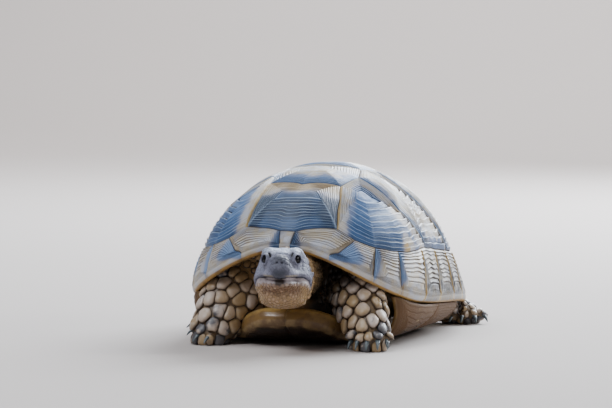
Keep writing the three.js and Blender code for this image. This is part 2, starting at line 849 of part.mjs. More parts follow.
addMesh(tortoise, "head", geometryOf(largest(upperHead)), materials.head);
addMesh(tortoise, "lower_jaw", geometryOf(largest(wholeJaw)), materials.head);
addMesh(tortoise, "eye_left", geometryOf(eyes[0]), materials.eye);
addMesh(tortoise, "eye_right", geometryOf(eyes[1]), materials.eye);
addMesh(tortoise, "neck", geometryOf(largest(neck)), materials.skin);
const tail = tube(tailStations, v3(1, 0, 0), 10, 2).subtract(keepOut);
addMesh(tortoise, "tail", geometryOf(largest(tail)), materials.skin);

// The origin is the middle of the bounding box's base.
tortoise.updateMatrixWorld(true);
const box = new THREE.Box3().setFromObject(tortoise, true);
const middle = box.getCenter(v3(0, 0, 0));
tortoise.position.set(-middle.x, -middle.y, -box.min.z);

export default tortoise;
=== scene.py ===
import math
import bpy
import numpy as np
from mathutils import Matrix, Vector
from mathutils.kdtree import KDTree


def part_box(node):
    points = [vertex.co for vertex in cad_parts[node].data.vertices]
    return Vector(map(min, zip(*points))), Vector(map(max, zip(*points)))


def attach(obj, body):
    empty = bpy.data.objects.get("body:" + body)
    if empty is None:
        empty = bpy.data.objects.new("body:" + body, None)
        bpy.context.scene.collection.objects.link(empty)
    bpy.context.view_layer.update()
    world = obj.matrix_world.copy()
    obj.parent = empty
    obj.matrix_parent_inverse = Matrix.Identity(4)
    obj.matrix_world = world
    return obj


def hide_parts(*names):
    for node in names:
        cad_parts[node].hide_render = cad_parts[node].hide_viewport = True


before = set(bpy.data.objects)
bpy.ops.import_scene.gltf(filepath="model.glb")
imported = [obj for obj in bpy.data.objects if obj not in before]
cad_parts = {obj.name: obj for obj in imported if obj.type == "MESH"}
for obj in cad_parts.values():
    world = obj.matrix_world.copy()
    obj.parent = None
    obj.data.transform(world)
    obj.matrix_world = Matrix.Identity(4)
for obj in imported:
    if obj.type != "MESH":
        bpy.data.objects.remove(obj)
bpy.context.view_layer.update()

# Shapes are worked out in millimetres in the animal's own frame: it faces -Y, its left
# is +X and the floor is at 0. placed() turns them into the frame's metres.


def bell(x, middle, width):
    return np.exp(-(((x - middle) / width) ** 2))


def smooth(x, a, b):
    t = np.clip((x - a) / (b - a), 0, 1)
    return t * t * (3 - 2 * t)


def mix(a, b, t):
    return a + (b - a) * t


def unit(v):
    return v / np.maximum(np.linalg.norm(v, axis=-1, keepdims=True), 1e-9)


def waves(points, length, seed):
    # smooth noise of about -1 to 1 whose swells are about `length` apart
    count = 7
    rng = np.random.default_rng(seed)
    points = np.atleast_2d(points)
    total = 0
    for _ in range(count):
        way = rng.normal(size=points.shape[-1])
        way *= 2 * math.pi / (length * rng.uniform(0.7, 1.6) * np.linalg.norm(way))
        total = total + np.sin(points @ way + rng.uniform(0, 6.28))
    return total / math.sqrt(count) * 0.8


headPose = dict(pivot=(4.8, -97, 44), yaw=math.radians(11), pitch=math.radians(9))
eyeSpec = dict(centre=(6.2, -10.6, 2.6), radius=3.4)


def headToBody(points):
    # the head is turned to its left and tipped nose up
    points = np.atleast_2d(np.asarray(points, float))
    c, s = math.cos(-headPose["pitch"]), math.sin(-headPose["pitch"])
    x, y, z = points[:, 0], c * points[:, 1] - s * points[:, 2], s * points[:, 1] + c * points[:, 2]
    c, s = math.cos(headPose["yaw"]), math.sin(headPose["yaw"])
    return np.stack([c * x - s * y, s * x + c * y, z], -1) + headPose["pivot"]


def bodyToHead(points):
    points = np.asarray(points, float) - headPose["pivot"]
    c, s = math.cos(headPose["yaw"]), math.sin(headPose["yaw"])
    x, y, z = np.moveaxis(points, -1, 0)
    x, y = c * x + s * y, -s * x + c * y
    c, s = math.cos(-headPose["pitch"]), math.sin(-headPose["pitch"])
    return np.stack([x, c * y + s * z, -s * y + c * z], -1)


def boxCentre(node):
    low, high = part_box(node)
    return (np.array(low) + np.array(high)) / 2


# the left eye is a sphere whose place is known in both frames
origin = boxCentre("eye_left") - headToBody(eyeSpec["centre"])[0] / 1000


def placed(points):
    return np.asarray(points, float) / 1000 + origin


def buildMesh(name, points, faces, attributes=None):
    # faces: one array of triangles or quads, or several such arrays
    groups = [np.asarray(f) for f in (faces if isinstance(faces, (list, tuple)) else [faces])]
    mesh = bpy.data.meshes.new(name)
    points = placed(points)
    mesh.vertices.add(len(points))
    mesh.vertices.foreach_set("co", points.astype(np.float32).ravel())
    loops = np.concatenate([g.ravel() for g in groups]).astype(np.int32)
    sizes = np.concatenate([np.full(len(g), g.shape[1]) for g in groups])
    mesh.loops.add(len(loops))
    mesh.loops.foreach_set("vertex_index", loops)
    mesh.polygons.add(len(sizes))
    starts = np.concatenate([[0], np.cumsum(sizes)[:-1]]).astype(np.int32)
    mesh.polygons.foreach_set("loop_start", starts)
    mesh.polygons.foreach_set("use_smooth", np.ones(len(sizes), bool))
    mesh.update(calc_edges=True)
    mesh.validate()
    for key, values in (attributes or {}).items():
        layer = mesh.attributes.new(key, "FLOAT", "POINT")
        layer.data.foreach_set("value", np.asarray(values, np.float32))
    return mesh


def tube(rows, around):
    # the quads of a closed body of rings, whose points come after a first one and before a last one,
    # and the triangles that close its two ends
    i = np.arange(around)
    j = (i + 1) % around
    start = 1 + np.arange(rows - 1)[:, None] * around
    quads = np.stack([start + i, start + j, start + around + j, start + around + i], -1).reshape(-1, 4)
    last = 1 + (rows - 1) * around
    first = np.stack([np.zeros_like(i), 1 + j, 1 + i], -1)
    return quads, np.concatenate([first, np.stack([np.full_like(i, last + around), last + i, last + j], -1)])


def tubeInsideOut(rows, around):
    quads, caps = tube(rows, around)
    return quads[:, [0, 3, 2, 1]], caps[:, [0, 2, 1]]


def facingOut(points, quads, caps):
    # turns all faces round if the closed mesh encloses a negative volume
    tris = np.concatenate([quads[:, :3], quads[:, [0, 2, 3]], caps])
    a, b, c = points[tris[:, 0]], points[tris[:, 1]], points[tris[:, 2]]
    if np.sum(a * np.cross(b, c)) > 0:
        return quads, caps
    return quads[:, ::-1], caps[:, ::-1]


def addPiece(name, mesh, material, nodes=()):
    piece = bpy.data.objects.new(name, mesh)
    bpy.context.scene.collection.objects.link(piece)
    mesh.materials.append(material)
    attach(piece, "root")
    if nodes:
        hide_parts(*nodes)


class Sock:
    # a shader socket that takes part in Python expressions
    def __init__(self, tree, socket):
        self.tree, self.socket = tree, socket

    def math(self, operation, *values):
        return addNode(self.tree, "Math", {"operation": operation}, i=values)

    def __add__(self, other):
        return self.math("ADD", self, other)

    __radd__ = __add__

    def __mul__(self, other):
        return self.math("MULTIPLY", self, other)

    __rmul__ = __mul__

    def __sub__(self, other):
        return self.math("SUBTRACT", self, other)

    def __rsub__(self, other):
        return self.math("SUBTRACT", other, self)

    def clamp(self):
        return addNode(self.tree, "Clamp", None, Value=self)

    def ramp(self, low, high):
        # 0 below `low`, 1 above `high`, smooth between
        settings = {"interpolation_type": "SMOOTHSTEP"}
        limits = {"From Min": low, "From Max": high}
        return addNode(self.tree, "MapRange", settings, Value=self, **limits)


def addNode(tree, kind, settings=None, out=0, i=(), **inputs):
    # i: values or links of the inputs by number, in order or as a dictionary; inputs: those by name
    byNumber = i if isinstance(i, dict) else dict(enumerate(i))
    node = tree.nodes.new("ShaderNode" + kind)
    for key, value in (settings or {}).items():
        setattr(node, key, value)
    for key, value in (*byNumber.items(), *inputs.items()):
        if isinstance(value, Sock):
            tree.links.new(value.socket, node.inputs[key])
        else:
            node.inputs[key].default_value = value
    return Sock(tree, node.outputs[out])


class Finish:
    # one material: its tree, common inputs and the principled shader at its end
    def __init__(self, name, **fixed):
        self.material = bpy.data.materials.new(name)
        self.material.use_nodes = True
        self.tree = self.material.node_tree
        self.shader = next(n for n in self.tree.nodes if n.type == "BSDF_PRINCIPLED")
        for key, value in fixed.items():
            self.shader.inputs[key.replace("_", " ")].default_value = value
        self.place = addNode(self.tree, "TexCoord", out=3)

    def field(self, name):
        return addNode(self.tree, "Attribute", {"attribute_name": name}, out=2)

    def drawn(self, field, pull, scale):
        # coordinates that change fast with a field, so that a noise is drawn out along its levels
        scaled = addNode(self.tree, "VectorMath", {"operation": "MULTIPLY"}, i=(self.place, (scale,) * 3))
        return addNode(self.tree, "VectorMath", {"operation": "MULTIPLY_ADD"}, i=(field, pull, scaled))

    def triangle(self, phase):
        # 0 in the middle of each cycle, 1 at its ends
        return (phase.math("ABSOLUTE", phase - 0.5)) * 2

    def noise(self, scale, detail=3.0, roughness=0.55, distortion=0.0, where=None):
        return addNode(self.tree, "TexNoise", None, Vector=where or self.place, Scale=scale, Detail=detail,
                       Roughness=roughness, Distortion=distortion)

    def cells(self, scale):
        # 0 at the edges of cells, larger inside them
        settings = {"feature": "DISTANCE_TO_EDGE"}
        return addNode(self.tree, "TexVoronoi", settings, Vector=self.place, Scale=scale)

    def blend(self, factor, a, b):
        # colour a where the factor is 0, b where it is 1
        a, b = (v if isinstance(v, Sock) else (*v, 1) for v in (a, b))
        return addNode(self.tree, "Mix", {"data_type": "RGBA"}, out=2, i={0: factor, 6: a, 7: b})

    def set(self, name, value):
        if isinstance(value, Sock):
            self.tree.links.new(value.socket, self.shader.inputs[name])
        else:
            self.shader.inputs[name].default_value = value

    def bump(self, height, distance, strength=1.0):
        node = addNode(self.tree, "Bump", None, Height=height, Distance=distance, Strength=strength)
        self.set("Normal", node)


cameraSpec = dict(
    azimuth=16, elevation=6, distance=1.5,  # of the eye round the point on the floor under the shell
    lens=161.5, sensor=36,
    target=(0, 0, 45),  # a point in the shell, in millimetres
    targetOff=(0.4341, 0.9755),  # degrees by which it lies right of and below the way the camera looks
)


def addCamera(spec):
    az, el = math.radians(spec["azimuth"]), math.radians(spec["elevation"])
    back = Vector((math.sin(az) * math.cos(el), -math.cos(az) * math.cos(el), math.sin(el)))
    eye = Vector(placed((0, 0, 0))) + back * spec["distance"]
    aside, below = (math.tan(math.radians(a)) for a in spec["targetOff"])
    look = (Vector(placed(spec["target"])) - eye).normalized()
    for _ in range(3):  # turn until the target lies where it should
        right = look.cross(Vector((0, 0, 1))).normalized()
        up = right.cross(look)
        wanted = (look + right * aside - up * below).normalized()
        actual = (Vector(placed(spec["target"])) - eye).normalized()
        look = (look + actual - wanted).normalized()
    data = bpy.data.cameras.new("camera")
    data.lens = spec["lens"]
    data.sensor_width = spec["sensor"]
    data.clip_end = 50
    camera = bpy.data.objects.new("camera", data)
    camera.location = eye
    camera.rotation_euler = look.to_track_quat("-Z", "Y").to_euler()
    bpy.context.scene.collection.objects.link(camera)
    bpy.context.scene.camera = camera


def addLight(name, place, aim, size, power, colour):
    data = bpy.data.lights.new(name, "AREA")
    data.shape = "RECTANGLE"
    data.size, data.size_y = size
    data.energy = power
    data.color = colour
    light = bpy.data.objects.new(name, data)
    light.location = place
    light.rotation_euler = (Vector(aim) - Vector(place)).to_track_quat("-Z", "Y").to_euler()
    bpy.context.scene.collection.objects.link(light)


studio = dict(
    world=((0.60, 0.60, 0.63), 0.27),
    lights=(
        # name, place, aim, size, power, colour
        ("lightBehind", (0.44, 1.30, 0.95), (0, 0, 0.05), (1.4, 0.9), 98, (0.86, 0.93, 1.0)),
        ("lightAbove", (-0.45, -0.10, 1.45), (0, 0, 0.05), (0.9, 0.9), 14, (0.86, 0.93, 1.0)),
        ("lightFront", (-0.55, -0.95, 1.25), (0, -0.05, 0.05), (0.5, 0.4), 11, (0.97, 0.97, 1.0)),
        ("lightRight", (1.2, 0.1, 0.65), (0, 0, 0.05), (0.2, 0.2), 5, (1.0, 0.98, 0.95)),
        ("lightBackdrop", (0, 1.9, 2.4), (0, 3.4, 0.9), (3.0, 1.0), 190, (0.95, 0.97, 1.0)),
    ),
    floor=(0.46, 0.42, 0.40),
    # the sheet lies flat from y = front to y = bend, then curves up and ends at `end`
    sheet=dict(front=-3.0, bend=2.2, radius=1.5, turn=1.5, end=(3.75, 4.0), halfWidth=4),
)


def addStudio(spec):
    world = bpy.data.worlds.new("studio")
    bpy.context.scene.world = world
    world.use_nodes = True
    backdrop = world.node_tree.nodes["Background"]
    backdrop.inputs["Color"].default_value = (*spec["world"][0], 1)
    backdrop.inputs["Strength"].default_value = spec["world"][1]
    for light in spec["lights"]:
        addLight(*light)
    # a sheet that lies on the floor and rises far behind the animal
    sheet = spec["sheet"]
    profile = [(sheet["front"], 0)]
    for a in np.linspace(0, sheet["turn"], 16):
        profile.append((sheet["bend"] + sheet["radius"] * math.sin(a), sheet["radius"] * (1 - math.cos(a))))
    profile.append(sheet["end"])
    points = [(x, y, z) for y, z in profile for x in (-sheet["halfWidth"], sheet["halfWidth"])]
    faces = [(2 * k, 2 * k + 1, 2 * k + 3, 2 * k + 2) for k in range(len(profile) - 1)]
    mesh = bpy.data.meshes.new("floor")
    mesh.from_pydata(points, [], faces)
    mesh.shade_smooth()
    finish = Finish("paleFloor", Roughness=0.9)
    tone = finish.noise(3, 4)
    finish.set("Base Color", finish.blend(tone, [c * 0.96 for c in spec["floor"]], spec["floor"]))
    mesh.materials.append(finish.material)
    floor = bpy.data.objects.new("floor", mesh)
    bpy.context.scene.collection.objects.link(floor)


addCamera(cameraSpec)
addStudio(studio)
print("camera and studio are set")


# the dome in the shell's own level frame, as in the solids
dome = dict(
    halfWidth=65.3, front=83, rear=100, rearFlare=0.05, apexHeight=88.3, apexBack=11.4,
    frontSquareness=3.2, rearSquareness=2.8, rimFront=42.7, rimSide=14.2, rimRear=9.2,
    frontSlope=64, sideSlope=86, rearSlope=54, shoulder=0.96, rimFlare=0.03,
)
stance = dict(pitch=math.radians(3), lift=5)
under = dict(
    flat=36, bridgeArc=34, rimInset=1.5, rimGap=0.9, sink=3.2,
    lipStart=-50, lipRise=12.2, lipCurve=2.2, front=-81,
)


def rimPoint(theta):
    # the rim at an angle from straight ahead
    s, c = np.sin(theta), np.cos(theta)
    n = mix(dome["frontSquareness"], dome["rearSquareness"], smooth(-c, -0.25, 0.25))
    length = np.where(c > 0, dome["front"], dome["rear"])
    r = (np.abs(s / dome["halfWidth"]) ** n + np.abs(c / length) ** n) ** (-1 / n)
    y = -r * c
    x = r * s * (1 + dome["rearFlare"] * smooth(y, -20, 60))
    z = dome["rimSide"] + (dome["rimFront"] - dome["rimSide"]) * np.maximum(c, 0) ** 5.5
    z = z + (dome["rimRear"] - dome["rimSide"]) * np.maximum(-c, 0) ** 3
    return x, y, z


def rimSlope(off):
    # how steeply the dome comes down to the rim, `off` degrees from straight ahead
    slope = dome["sideSlope"] + (dome["frontSlope"] - dome["sideSlope"]) * (1 - smooth(off, 10, 60))
    return np.radians(slope + (dome["rearSlope"] - dome["sideSlope"]) * smooth(off, 110, 165))


def domePoint(pq):
    # a place on the disc, of radius 1 and pointing ahead at -q, laid on the dome
    p, q = pq[..., 0], pq[..., 1]
    theta = np.arctan2(p, -q)
    rho = np.hypot(p, q)
    x, y, z = rimPoint(theta)
    off = np.degrees(np.abs(theta))
    slope = rimSlope(off)
    behindBridge = smooth(off, 60, 100) * (1 - smooth(off, 140, 170))
    flare = dome["rimFlare"] * behindBridge * np.clip((rho - 0.86) / 0.14, 0, 1.5) ** 2
    out = np.sin(rho * slope) / np.sin(slope) + flare
    fall = (np.cos(rho * slope) - np.cos(slope)) / (1 - np.cos(slope))
    up = np.sign(fall) * np.abs(fall) ** dome["shoulder"]
    return np.stack([x * out, mix(dome["apexBack"], y, out), mix(z, dome["apexHeight"], up)], -1)


def onCarapace(pq, height):
    # a point of the dome, raised along its normal
    e = 2e-3
    across = domePoint(pq + (e, 0)) - domePoint(pq - (e, 0))
    along = domePoint(pq + (0, e)) - domePoint(pq - (0, e))
    return domePoint(pq) + unit(np.cross(across, along)) * np.asarray(height)[..., None]


def bellyLevel(y):
    # the underside is level with the floor, under a shell that is tipped nose up
    k = under
    level = math.sin(stance["pitch"]) * np.minimum(y, 60) - k["sink"] + 3 * smooth(y, 60, 92)
    forward = np.clip((k["lipStart"] - y) / (k["lipStart"] - k["front"]), 0, 1.1)
    return level + k["lipRise"] * forward ** k["lipCurve"]


def bellyPoint(sy):
    s, y = sy[..., 0], sy[..., 1]
    rimX = dome["halfWidth"]
    for _ in range(4):  # the rim's point that lies at y
        rimX, _, rimZ = rimPoint(np.arctan2(rimX, -y))
    turn = np.clip((np.abs(s) - under["flat"]) / under["bridgeArc"], 0, 1) * math.pi / 2
    reach = rimX - under["rimInset"] - under["flat"]
    x = np.minimum(np.abs(s), under["flat"]) + reach * np.sin(turn)
    return np.stack([np.sign(s) * x, y, mix(rimZ - under["rimGap"], bellyLevel(y), np.cos(turn))], -1)


def onPlastron(sy, height):
    # a point of the underside, pushed out along its normal
    e = 0.2
    side = np.sign(sy[..., :1]) * np.array([1.0, 0.0])
    inward = np.where(np.abs(sy[..., :1]) > 69, -2 * e, 0) * side
    across = bellyPoint(sy + inward + e * side) - bellyPoint(sy + inward)
    along = bellyPoint(sy + (0, e)) - bellyPoint(sy - (0, e))
    out = unit(np.cross(along, across)) * np.sign(sy[..., :1])
    out = np.where(out[..., 2:] > 0.2, -out, out)
    return bellyPoint(sy) + out * np.asarray(height)[..., None]


def standing(points):
    # the shell is carried nose up, clear of the floor
    c, s = math.cos(stance["pitch"]), math.sin(stance["pitch"])
    x, y, z = points[..., 0], points[..., 1], points[..., 2]
    return np.stack([x, c * y + s * z, -s * y + c * z + stance["lift"]], -1)


def polar(degrees, rho):
    # a place on the disc
    return (rho * math.sin(math.radians(degrees)), -rho * math.cos(math.radians(degrees)))


spineSeams = (  # left corner, middle and right corner of each seam across the back
    dict(left=(0.045, -0.89), right=(-0.045, -0.89)),
    dict(left=(0.176, -0.441), middle=(-0.02, -0.505), right=(-0.205, -0.392)),
    dict(left=(0.176, -0.135), middle=(-0.01, -0.16), right=(-0.196, -0.13)),
    dict(left=(0.18, 0.165), middle=(0, 0.15), right=(-0.185, 0.165)),
    dict(left=(0.175, 0.47), middle=(0, 0.45), right=(-0.175, 0.47)),
)
costalTops = ((0.207, -0.27), (0.245, 0.015), (0.24, 0.32))
costalBends = ((0.475, -0.318), (0.49, 0.06), (0.42, 0.41))
costalFeet = (polar(72, 0.757), polar(109, 0.775), polar(133, 0.787))
firstCorner = polar(19, 0.803)
marginalSeams = (  # angle and radius of the upper corner, angle at the rim
    (2.9, 0.89, 2), (26, 0.828, 16.3), (34, 0.822, 32), (45, 0.8, 44), (65, 0.76, 61.5), (86, 0.765, 81.5),
    (104, 0.775, 102), (118, 0.78, 117), (129, 0.785, 129), (139, 0.79, 139.5), (149, 0.8, 150.5),
    (165, 0.825, 165),
)
upper = [polar(a, r) for a, r, _ in marginalSeams]
lower = [polar(a, 1) for _, _, a in marginalSeams]


def flip(points):
    return [(-x, y) for x, y in points]


def plate(name, kind, which, corners, areola, size, rings, rays=()):
    # size: the areola's share of the outline across and along
    # rays: corners to which a ridge runs from the areola, and how far it pushes the rings out, in mm
    spec = dict(name=name, kind=kind, which=which, corners=corners, areola=areola)
    return dict(spec, size=size, rings=rings, rays=rays)


def carapacePlates():
    plates = []
    both = lambda half: half + flip(half)[::-1]
    plates.append(plate("nuchal", "nuchal", 0, both([lower[0], upper[0]]), (0, -0.95), (0.3, 0.3), 6))
    areolas = ((-0.015, -0.598), (-0.01, -0.27), (0, 0.02), (0, 0.33))
    for i in range(4):
        ahead, behind = spineSeams[i], spineSeams[i + 1]
        corner = firstCorner if i == 0 else costalTops[i - 1]
        corners = [ahead["left"], corner, behind["left"], behind["middle"], behind["right"]]
        corners += [*flip([corner]), ahead["right"]] + ([ahead["middle"]] if i else [])
        size = (0.52, 0.17) if i == 0 else (0.36, 0.3)
        rays = ((1, 0.7), (5, 0.7)) if i == 0 else ((1, 0.5), (5, 0.5))
        plates.append(plate(f"vertebral_{i + 1}", "vertebral", i, corners, areolas[i], size, 11, rays))
    last = spineSeams[4]
    corners = [last["left"], upper[11], *flip([upper[11]]), last["right"], last["middle"]]
    plates.append(plate("vertebral_5", "vertebral", 4, corners, (0, 0.58), (0.3, 0.22), 12))
    corners = both([upper[11], lower[11]])
    plates.append(plate("supracaudal", "marginal", 11, corners, (0, 0.88), (0.3, 0.2), 9))
    for side in ("left", "right"):
        way = (lambda points: list(points)) if side == "left" else flip
        spine = way([seam[side] for seam in spineSeams])
        seams = [list(seam) for seam in zip(costalFeet, costalBends, costalTops)]  # from the rim upwards
        costals = (
            ([firstCorner, *upper[1:5], *seams[0]], (0.275, -0.42)),
            ([*seams[0][::-1], *upper[5:7], *seams[1]], (0.345, -0.1)),
            ([*seams[1][::-1], *upper[7:9], *seams[2]], (0.36, 0.21)),
            ([*seams[2][::-1], *upper[9:12]], (0.32, 0.5)),
        )
        for i, (corners, areola) in enumerate(costals):
            name, corners, spot = f"costal_{side}_{i + 1}", way([spine[i + 1], *corners]), way([areola])[0]
            rings, push = (9, 1.9) if i == 0 else (10, 1.2)
            plates.append(plate(name, "costal", i, corners, spot, (0.2, 0.18), rings, ((3, push), (0, 0))))
        between = {0: [firstCorner], 4: [costalFeet[0]], 6: [costalFeet[1]], 8: [costalFeet[2]]}
        for i in range(11):
            corners = way([upper[i], *between.get(i, []), upper[i + 1], lower[i + 1], lower[i]])
            share, size = (0.76, (0.5, 0.14)) if i < 3 else (0.55, (0.74, 0.13))
            spot = way([polar(mix(marginalSeams[i][2], marginalSeams[i + 1][2], share), 0.945)])[0]
            plates.append(plate(f"marginal_{side}_{i + 1}", "marginal", i, corners, spot, size, 8))
    return plates


belly = dict(  # the plastron's corners on its left side
    gularFront=(0.001, -81), gularTip=(15, -81), gularSide=(26, -73), gularBack=(0.001, -60),
    humeralSide=(33, -55), humeralBack=(0.001, -36),
    axilla=(42, -50), bridgeFront=(70, -62), pectoralBack=(0.001, -22),
    pectoralSide=(38, -20), bridgeMiddle=(70, -6), bridgeBack=(70, 36), groin=(38, 41),
    abdominalBack=(0.001, 34), femoralSide=(33, 66), femoralBack=(0.001, 56), analTip=(14, 85),
    analNotch=(0.001, 77),
)


def plastronPlates():
    # each plate's corners, areola and number of rings
    shapes = dict(
        gular=("gularFront gularTip gularSide gularBack", (9, -73), 7),
        humeral=("gularBack gularSide humeralSide axilla humeralBack", (19, -52), 8),
        pectoral=("humeralBack axilla bridgeFront bridgeMiddle pectoralSide pectoralBack", (40, -30), 8),
        abdominal=("pectoralBack pectoralSide bridgeMiddle bridgeBack groin abdominalBack", (36, 14), 11),
        femoral=("abdominalBack groin femoralSide femoralBack", (20, 50), 9),
        anal=("femoralBack femoralSide analTip analNotch", (14, 70), 8),
    )
    plates = []
    for side in ("left", "right"):
        way = list if side == "left" else flip
        for name, (path, areola, rings) in shapes.items():
            corners, spot = way([belly[c] for c in path.split()]), way([areola])[0]
            plates.append(plate(f"{name}_{side}", "belly", name, corners, spot, (0.18, 0.18), rings))
    return plates


# the relief of every horny plate, in millimetres where it is a length
relief = dict(
    step=0.8,  # outline spacing
    inset=0.1,  # half the seam's width
    bulge=0.5,
    seamDrop=0.3,  # the edge rolls down into the seam
    groove=0.46,  # depth of a groove between two years' rings, at full ring width
    crest=0.2,  # the raised line beside each groove
    terrace=0.34,  # each year's ring slopes down to the next groove
    fullRing=2.3,  # ring width at which the relief has its full depth
    depths=dict(nuchal=0.8, vertebral=1.5, costal=2.2, marginal=2.2, belly=0.4),
    sways=dict(nuchal=0.2, vertebral=0.4, costal=0.28, marginal=0.3, belly=0.4),
    phases=(0.0, 0.08, 0.18, 0.34, 0.6, 0.86),
    lipTurns=(22, 45, 68, 90, 115, 145, 180),  # the rounded free edge, from its top face to its underside
    rayWidth=9,  # how far a ray's push reaches along the ring
)


def denseOutline(corners, unitSize, onDome):
    # points along the outline, and where each corner is in it; neighbours share them exactly
    points, at = [], []
    for i, a in enumerate(corners):
        b = corners[(i + 1) % len(corners)]
        at.append(sum(len(p) for p in points))
        ra, rb = math.hypot(*a), math.hypot(*b)
        bent = onDome and ra > 0.74 and rb > 0.74  # seams near the rim run round it
        count = max(3, math.ceil(math.dist(a, b) * unitSize / relief["step"]))
        t = np.arange(count) / count
        if bent:
            ta, tb = math.atan2(a[0], -a[1]), math.atan2(b[0], -b[1])
            tb += 2 * math.pi * round((ta - tb) / (2 * math.pi))
            rho, theta = mix(ra, rb, t), mix(ta, tb, t)
            line = np.stack([rho * np.sin(theta), -rho * np.cos(theta)], -1)
        else:
            line = np.stack([mix(a[0], b[0], t), mix(a[1], b[1], t)], -1)
        points.append(line)
    points = np.concatenate(points)
    if not onDome:
        return roundedOff(points), at
    # real seams wander a little, but the rim does not
    calm = 1 - smooth(np.hypot(points[:, 0], points[:, 1]), 0.93, 1)
    wander = np.stack([waves(points, 0.16, 11), waves(points, 0.16, 12)], -1)
    return points + wander * (0.0022 * calm)[:, None], at


def drawnIn(outline, distance):
    # the outline moved inwards, square to its sides
    before, after = np.roll(outline, 1, 0), np.roll(outline, -1, 0)
    area = np.sum(outline[:, 0] * after[:, 1] - after[:, 0] * outline[:, 1])
    turn = lambda v: np.stack([-v[:, 1], v[:, 0]], -1) * np.sign(area)
    n, m = unit(turn(outline - before)), unit(turn(after - outline))
    sharp = np.maximum(0.4, 1 + np.sum(n * m, 1))
    return outline + distance * (n + m) / sharp[:, None]


def nearestOn(points, line):
    # the least distance from each point to a polyline, and the nearest place on it
    best = np.full(points.shape[:-1], np.inf)
    place = np.zeros(points.shape)
    for a, b in zip(line[:-1], line[1:]):
        a, b = np.array(a), np.array(b)
        along = b - a
        t = np.clip((points - a) @ along / (along @ along), 0, 1)
        spot = a + t[..., None] * along
        d = np.linalg.norm(points - spot, axis=-1)
        place = np.where((d < best)[..., None], spot, place)
        best = np.minimum(best, d)
    return best, place


def ringEdges(count, rng):
    # where each year's ring ends, from the areola (0) to the seam (1): the last ones are narrow
    widths = rng.uniform(0.75, 1.25, count) * np.linspace(1.2, 0.75, count)
    return np.concatenate([[0], np.cumsum(widths)]) / widths.sum()


discUnit = 95  # the disc's unit in millimetres on the dome, about
thickness = dict(dome=2.0, rim=3.0, sideRim=3.0, plastron=4, gular=7)  # what each adds, in millimetres


def rimLip(points):
    # the carapace's free edge: how far in from it points lie, the way out to it and the shell's thickness
    rho = np.hypot(points[..., 0], points[..., 1])
    aside = np.degrees(np.arctan2(np.abs(points[..., 0]), -points[..., 1]))
    k = thickness
    thick = k["dome"] + (k["rim"] + k["sideRim"] * bell(aside, 62, 13)) * smooth(rho, 0.84, 0.97)
    return (1 - rho) * discUnit, points / np.maximum(rho, 1e-6)[..., None], thick


def freeEdge(outward, middle, *line):
    # a free edge of the plastron: its straight course, the same with rounded corners, and the way out
    line = np.array([(-line[0][0], line[0][1]), (0, middle), *line], float)
    length = np.concatenate([[0], np.cumsum(np.linalg.norm(np.diff(line, axis=0), axis=1))])
    at = np.arange(12, length[-1], 0.5)
    course = lambda l: np.stack([np.interp(l, length, line[:, 0]), np.interp(l, length, line[:, 1])], -1)
    rounded = sum(course(at + o) for o in np.arange(-6, 6.1, 1)) / 13
    along = unit(np.gradient(rounded, axis=0))
    return course(at), rounded, np.stack([-along[:, 1], along[:, 0]], -1) * outward


bellyEdges = (
    freeEdge(-1, -81, *(belly[c] for c in ("gularTip", "gularSide", "humeralSide", "axilla")), (73, -63.3)),
    freeEdge(1, 77, *(belly[c] for c in ("analTip", "femoralSide", "groin")), (73, 36)),
)


def nearestSpot(points, course):
    # which point of the course is nearest, and how far off it is
    apart = np.linalg.norm(points[:, None] - course[None], axis=-1)
    return np.argmin(apart, 1), apart.min(1)


def roundedOff(points):
    # draws points near a free edge of the plastron in with its corners
    side = np.stack([np.abs(points[:, 0]), points[:, 1]], -1)
    for straight, rounded, _ in bellyEdges:
        spot, apart = nearestSpot(side, straight)
        shift = (rounded - straight)[spot] * (1 - smooth(apart, 0, 9))[:, None]
        shift[:, 0] *= side[:, 0] > 0.01
        side = side + shift
    return side * np.stack([np.where(points[:, 0] < 0, -1, 1), np.ones(len(points))], -1)


def bellyLip(points):
    # the same for the plastron's free edges
    flat = points.reshape(-1, 2)
    side = np.stack([np.abs(flat[:, 0]), flat[:, 1]], -1)
    away, out = np.full(len(flat), np.inf), np.zeros(flat.shape)
    for _, rounded, normal in bellyEdges:
        spot, _ = nearestSpot(side, rounded)
        apart = np.abs(np.sum((rounded[spot] - side) * normal[spot], 1))
        out = np.where((apart < away)[:, None], normal[spot], out)
        away = np.minimum(away, apart)
    out[:, 0] *= np.where(flat[:, 0] < 0, -1, 1) * (side[:, 0] > 0.01)
    thick = thickness["plastron"] + thickness["gular"] * smooth(-points[..., 1], 54, 70)
    return away.reshape(points.shape[:-1]), out.reshape(points.shape), thick


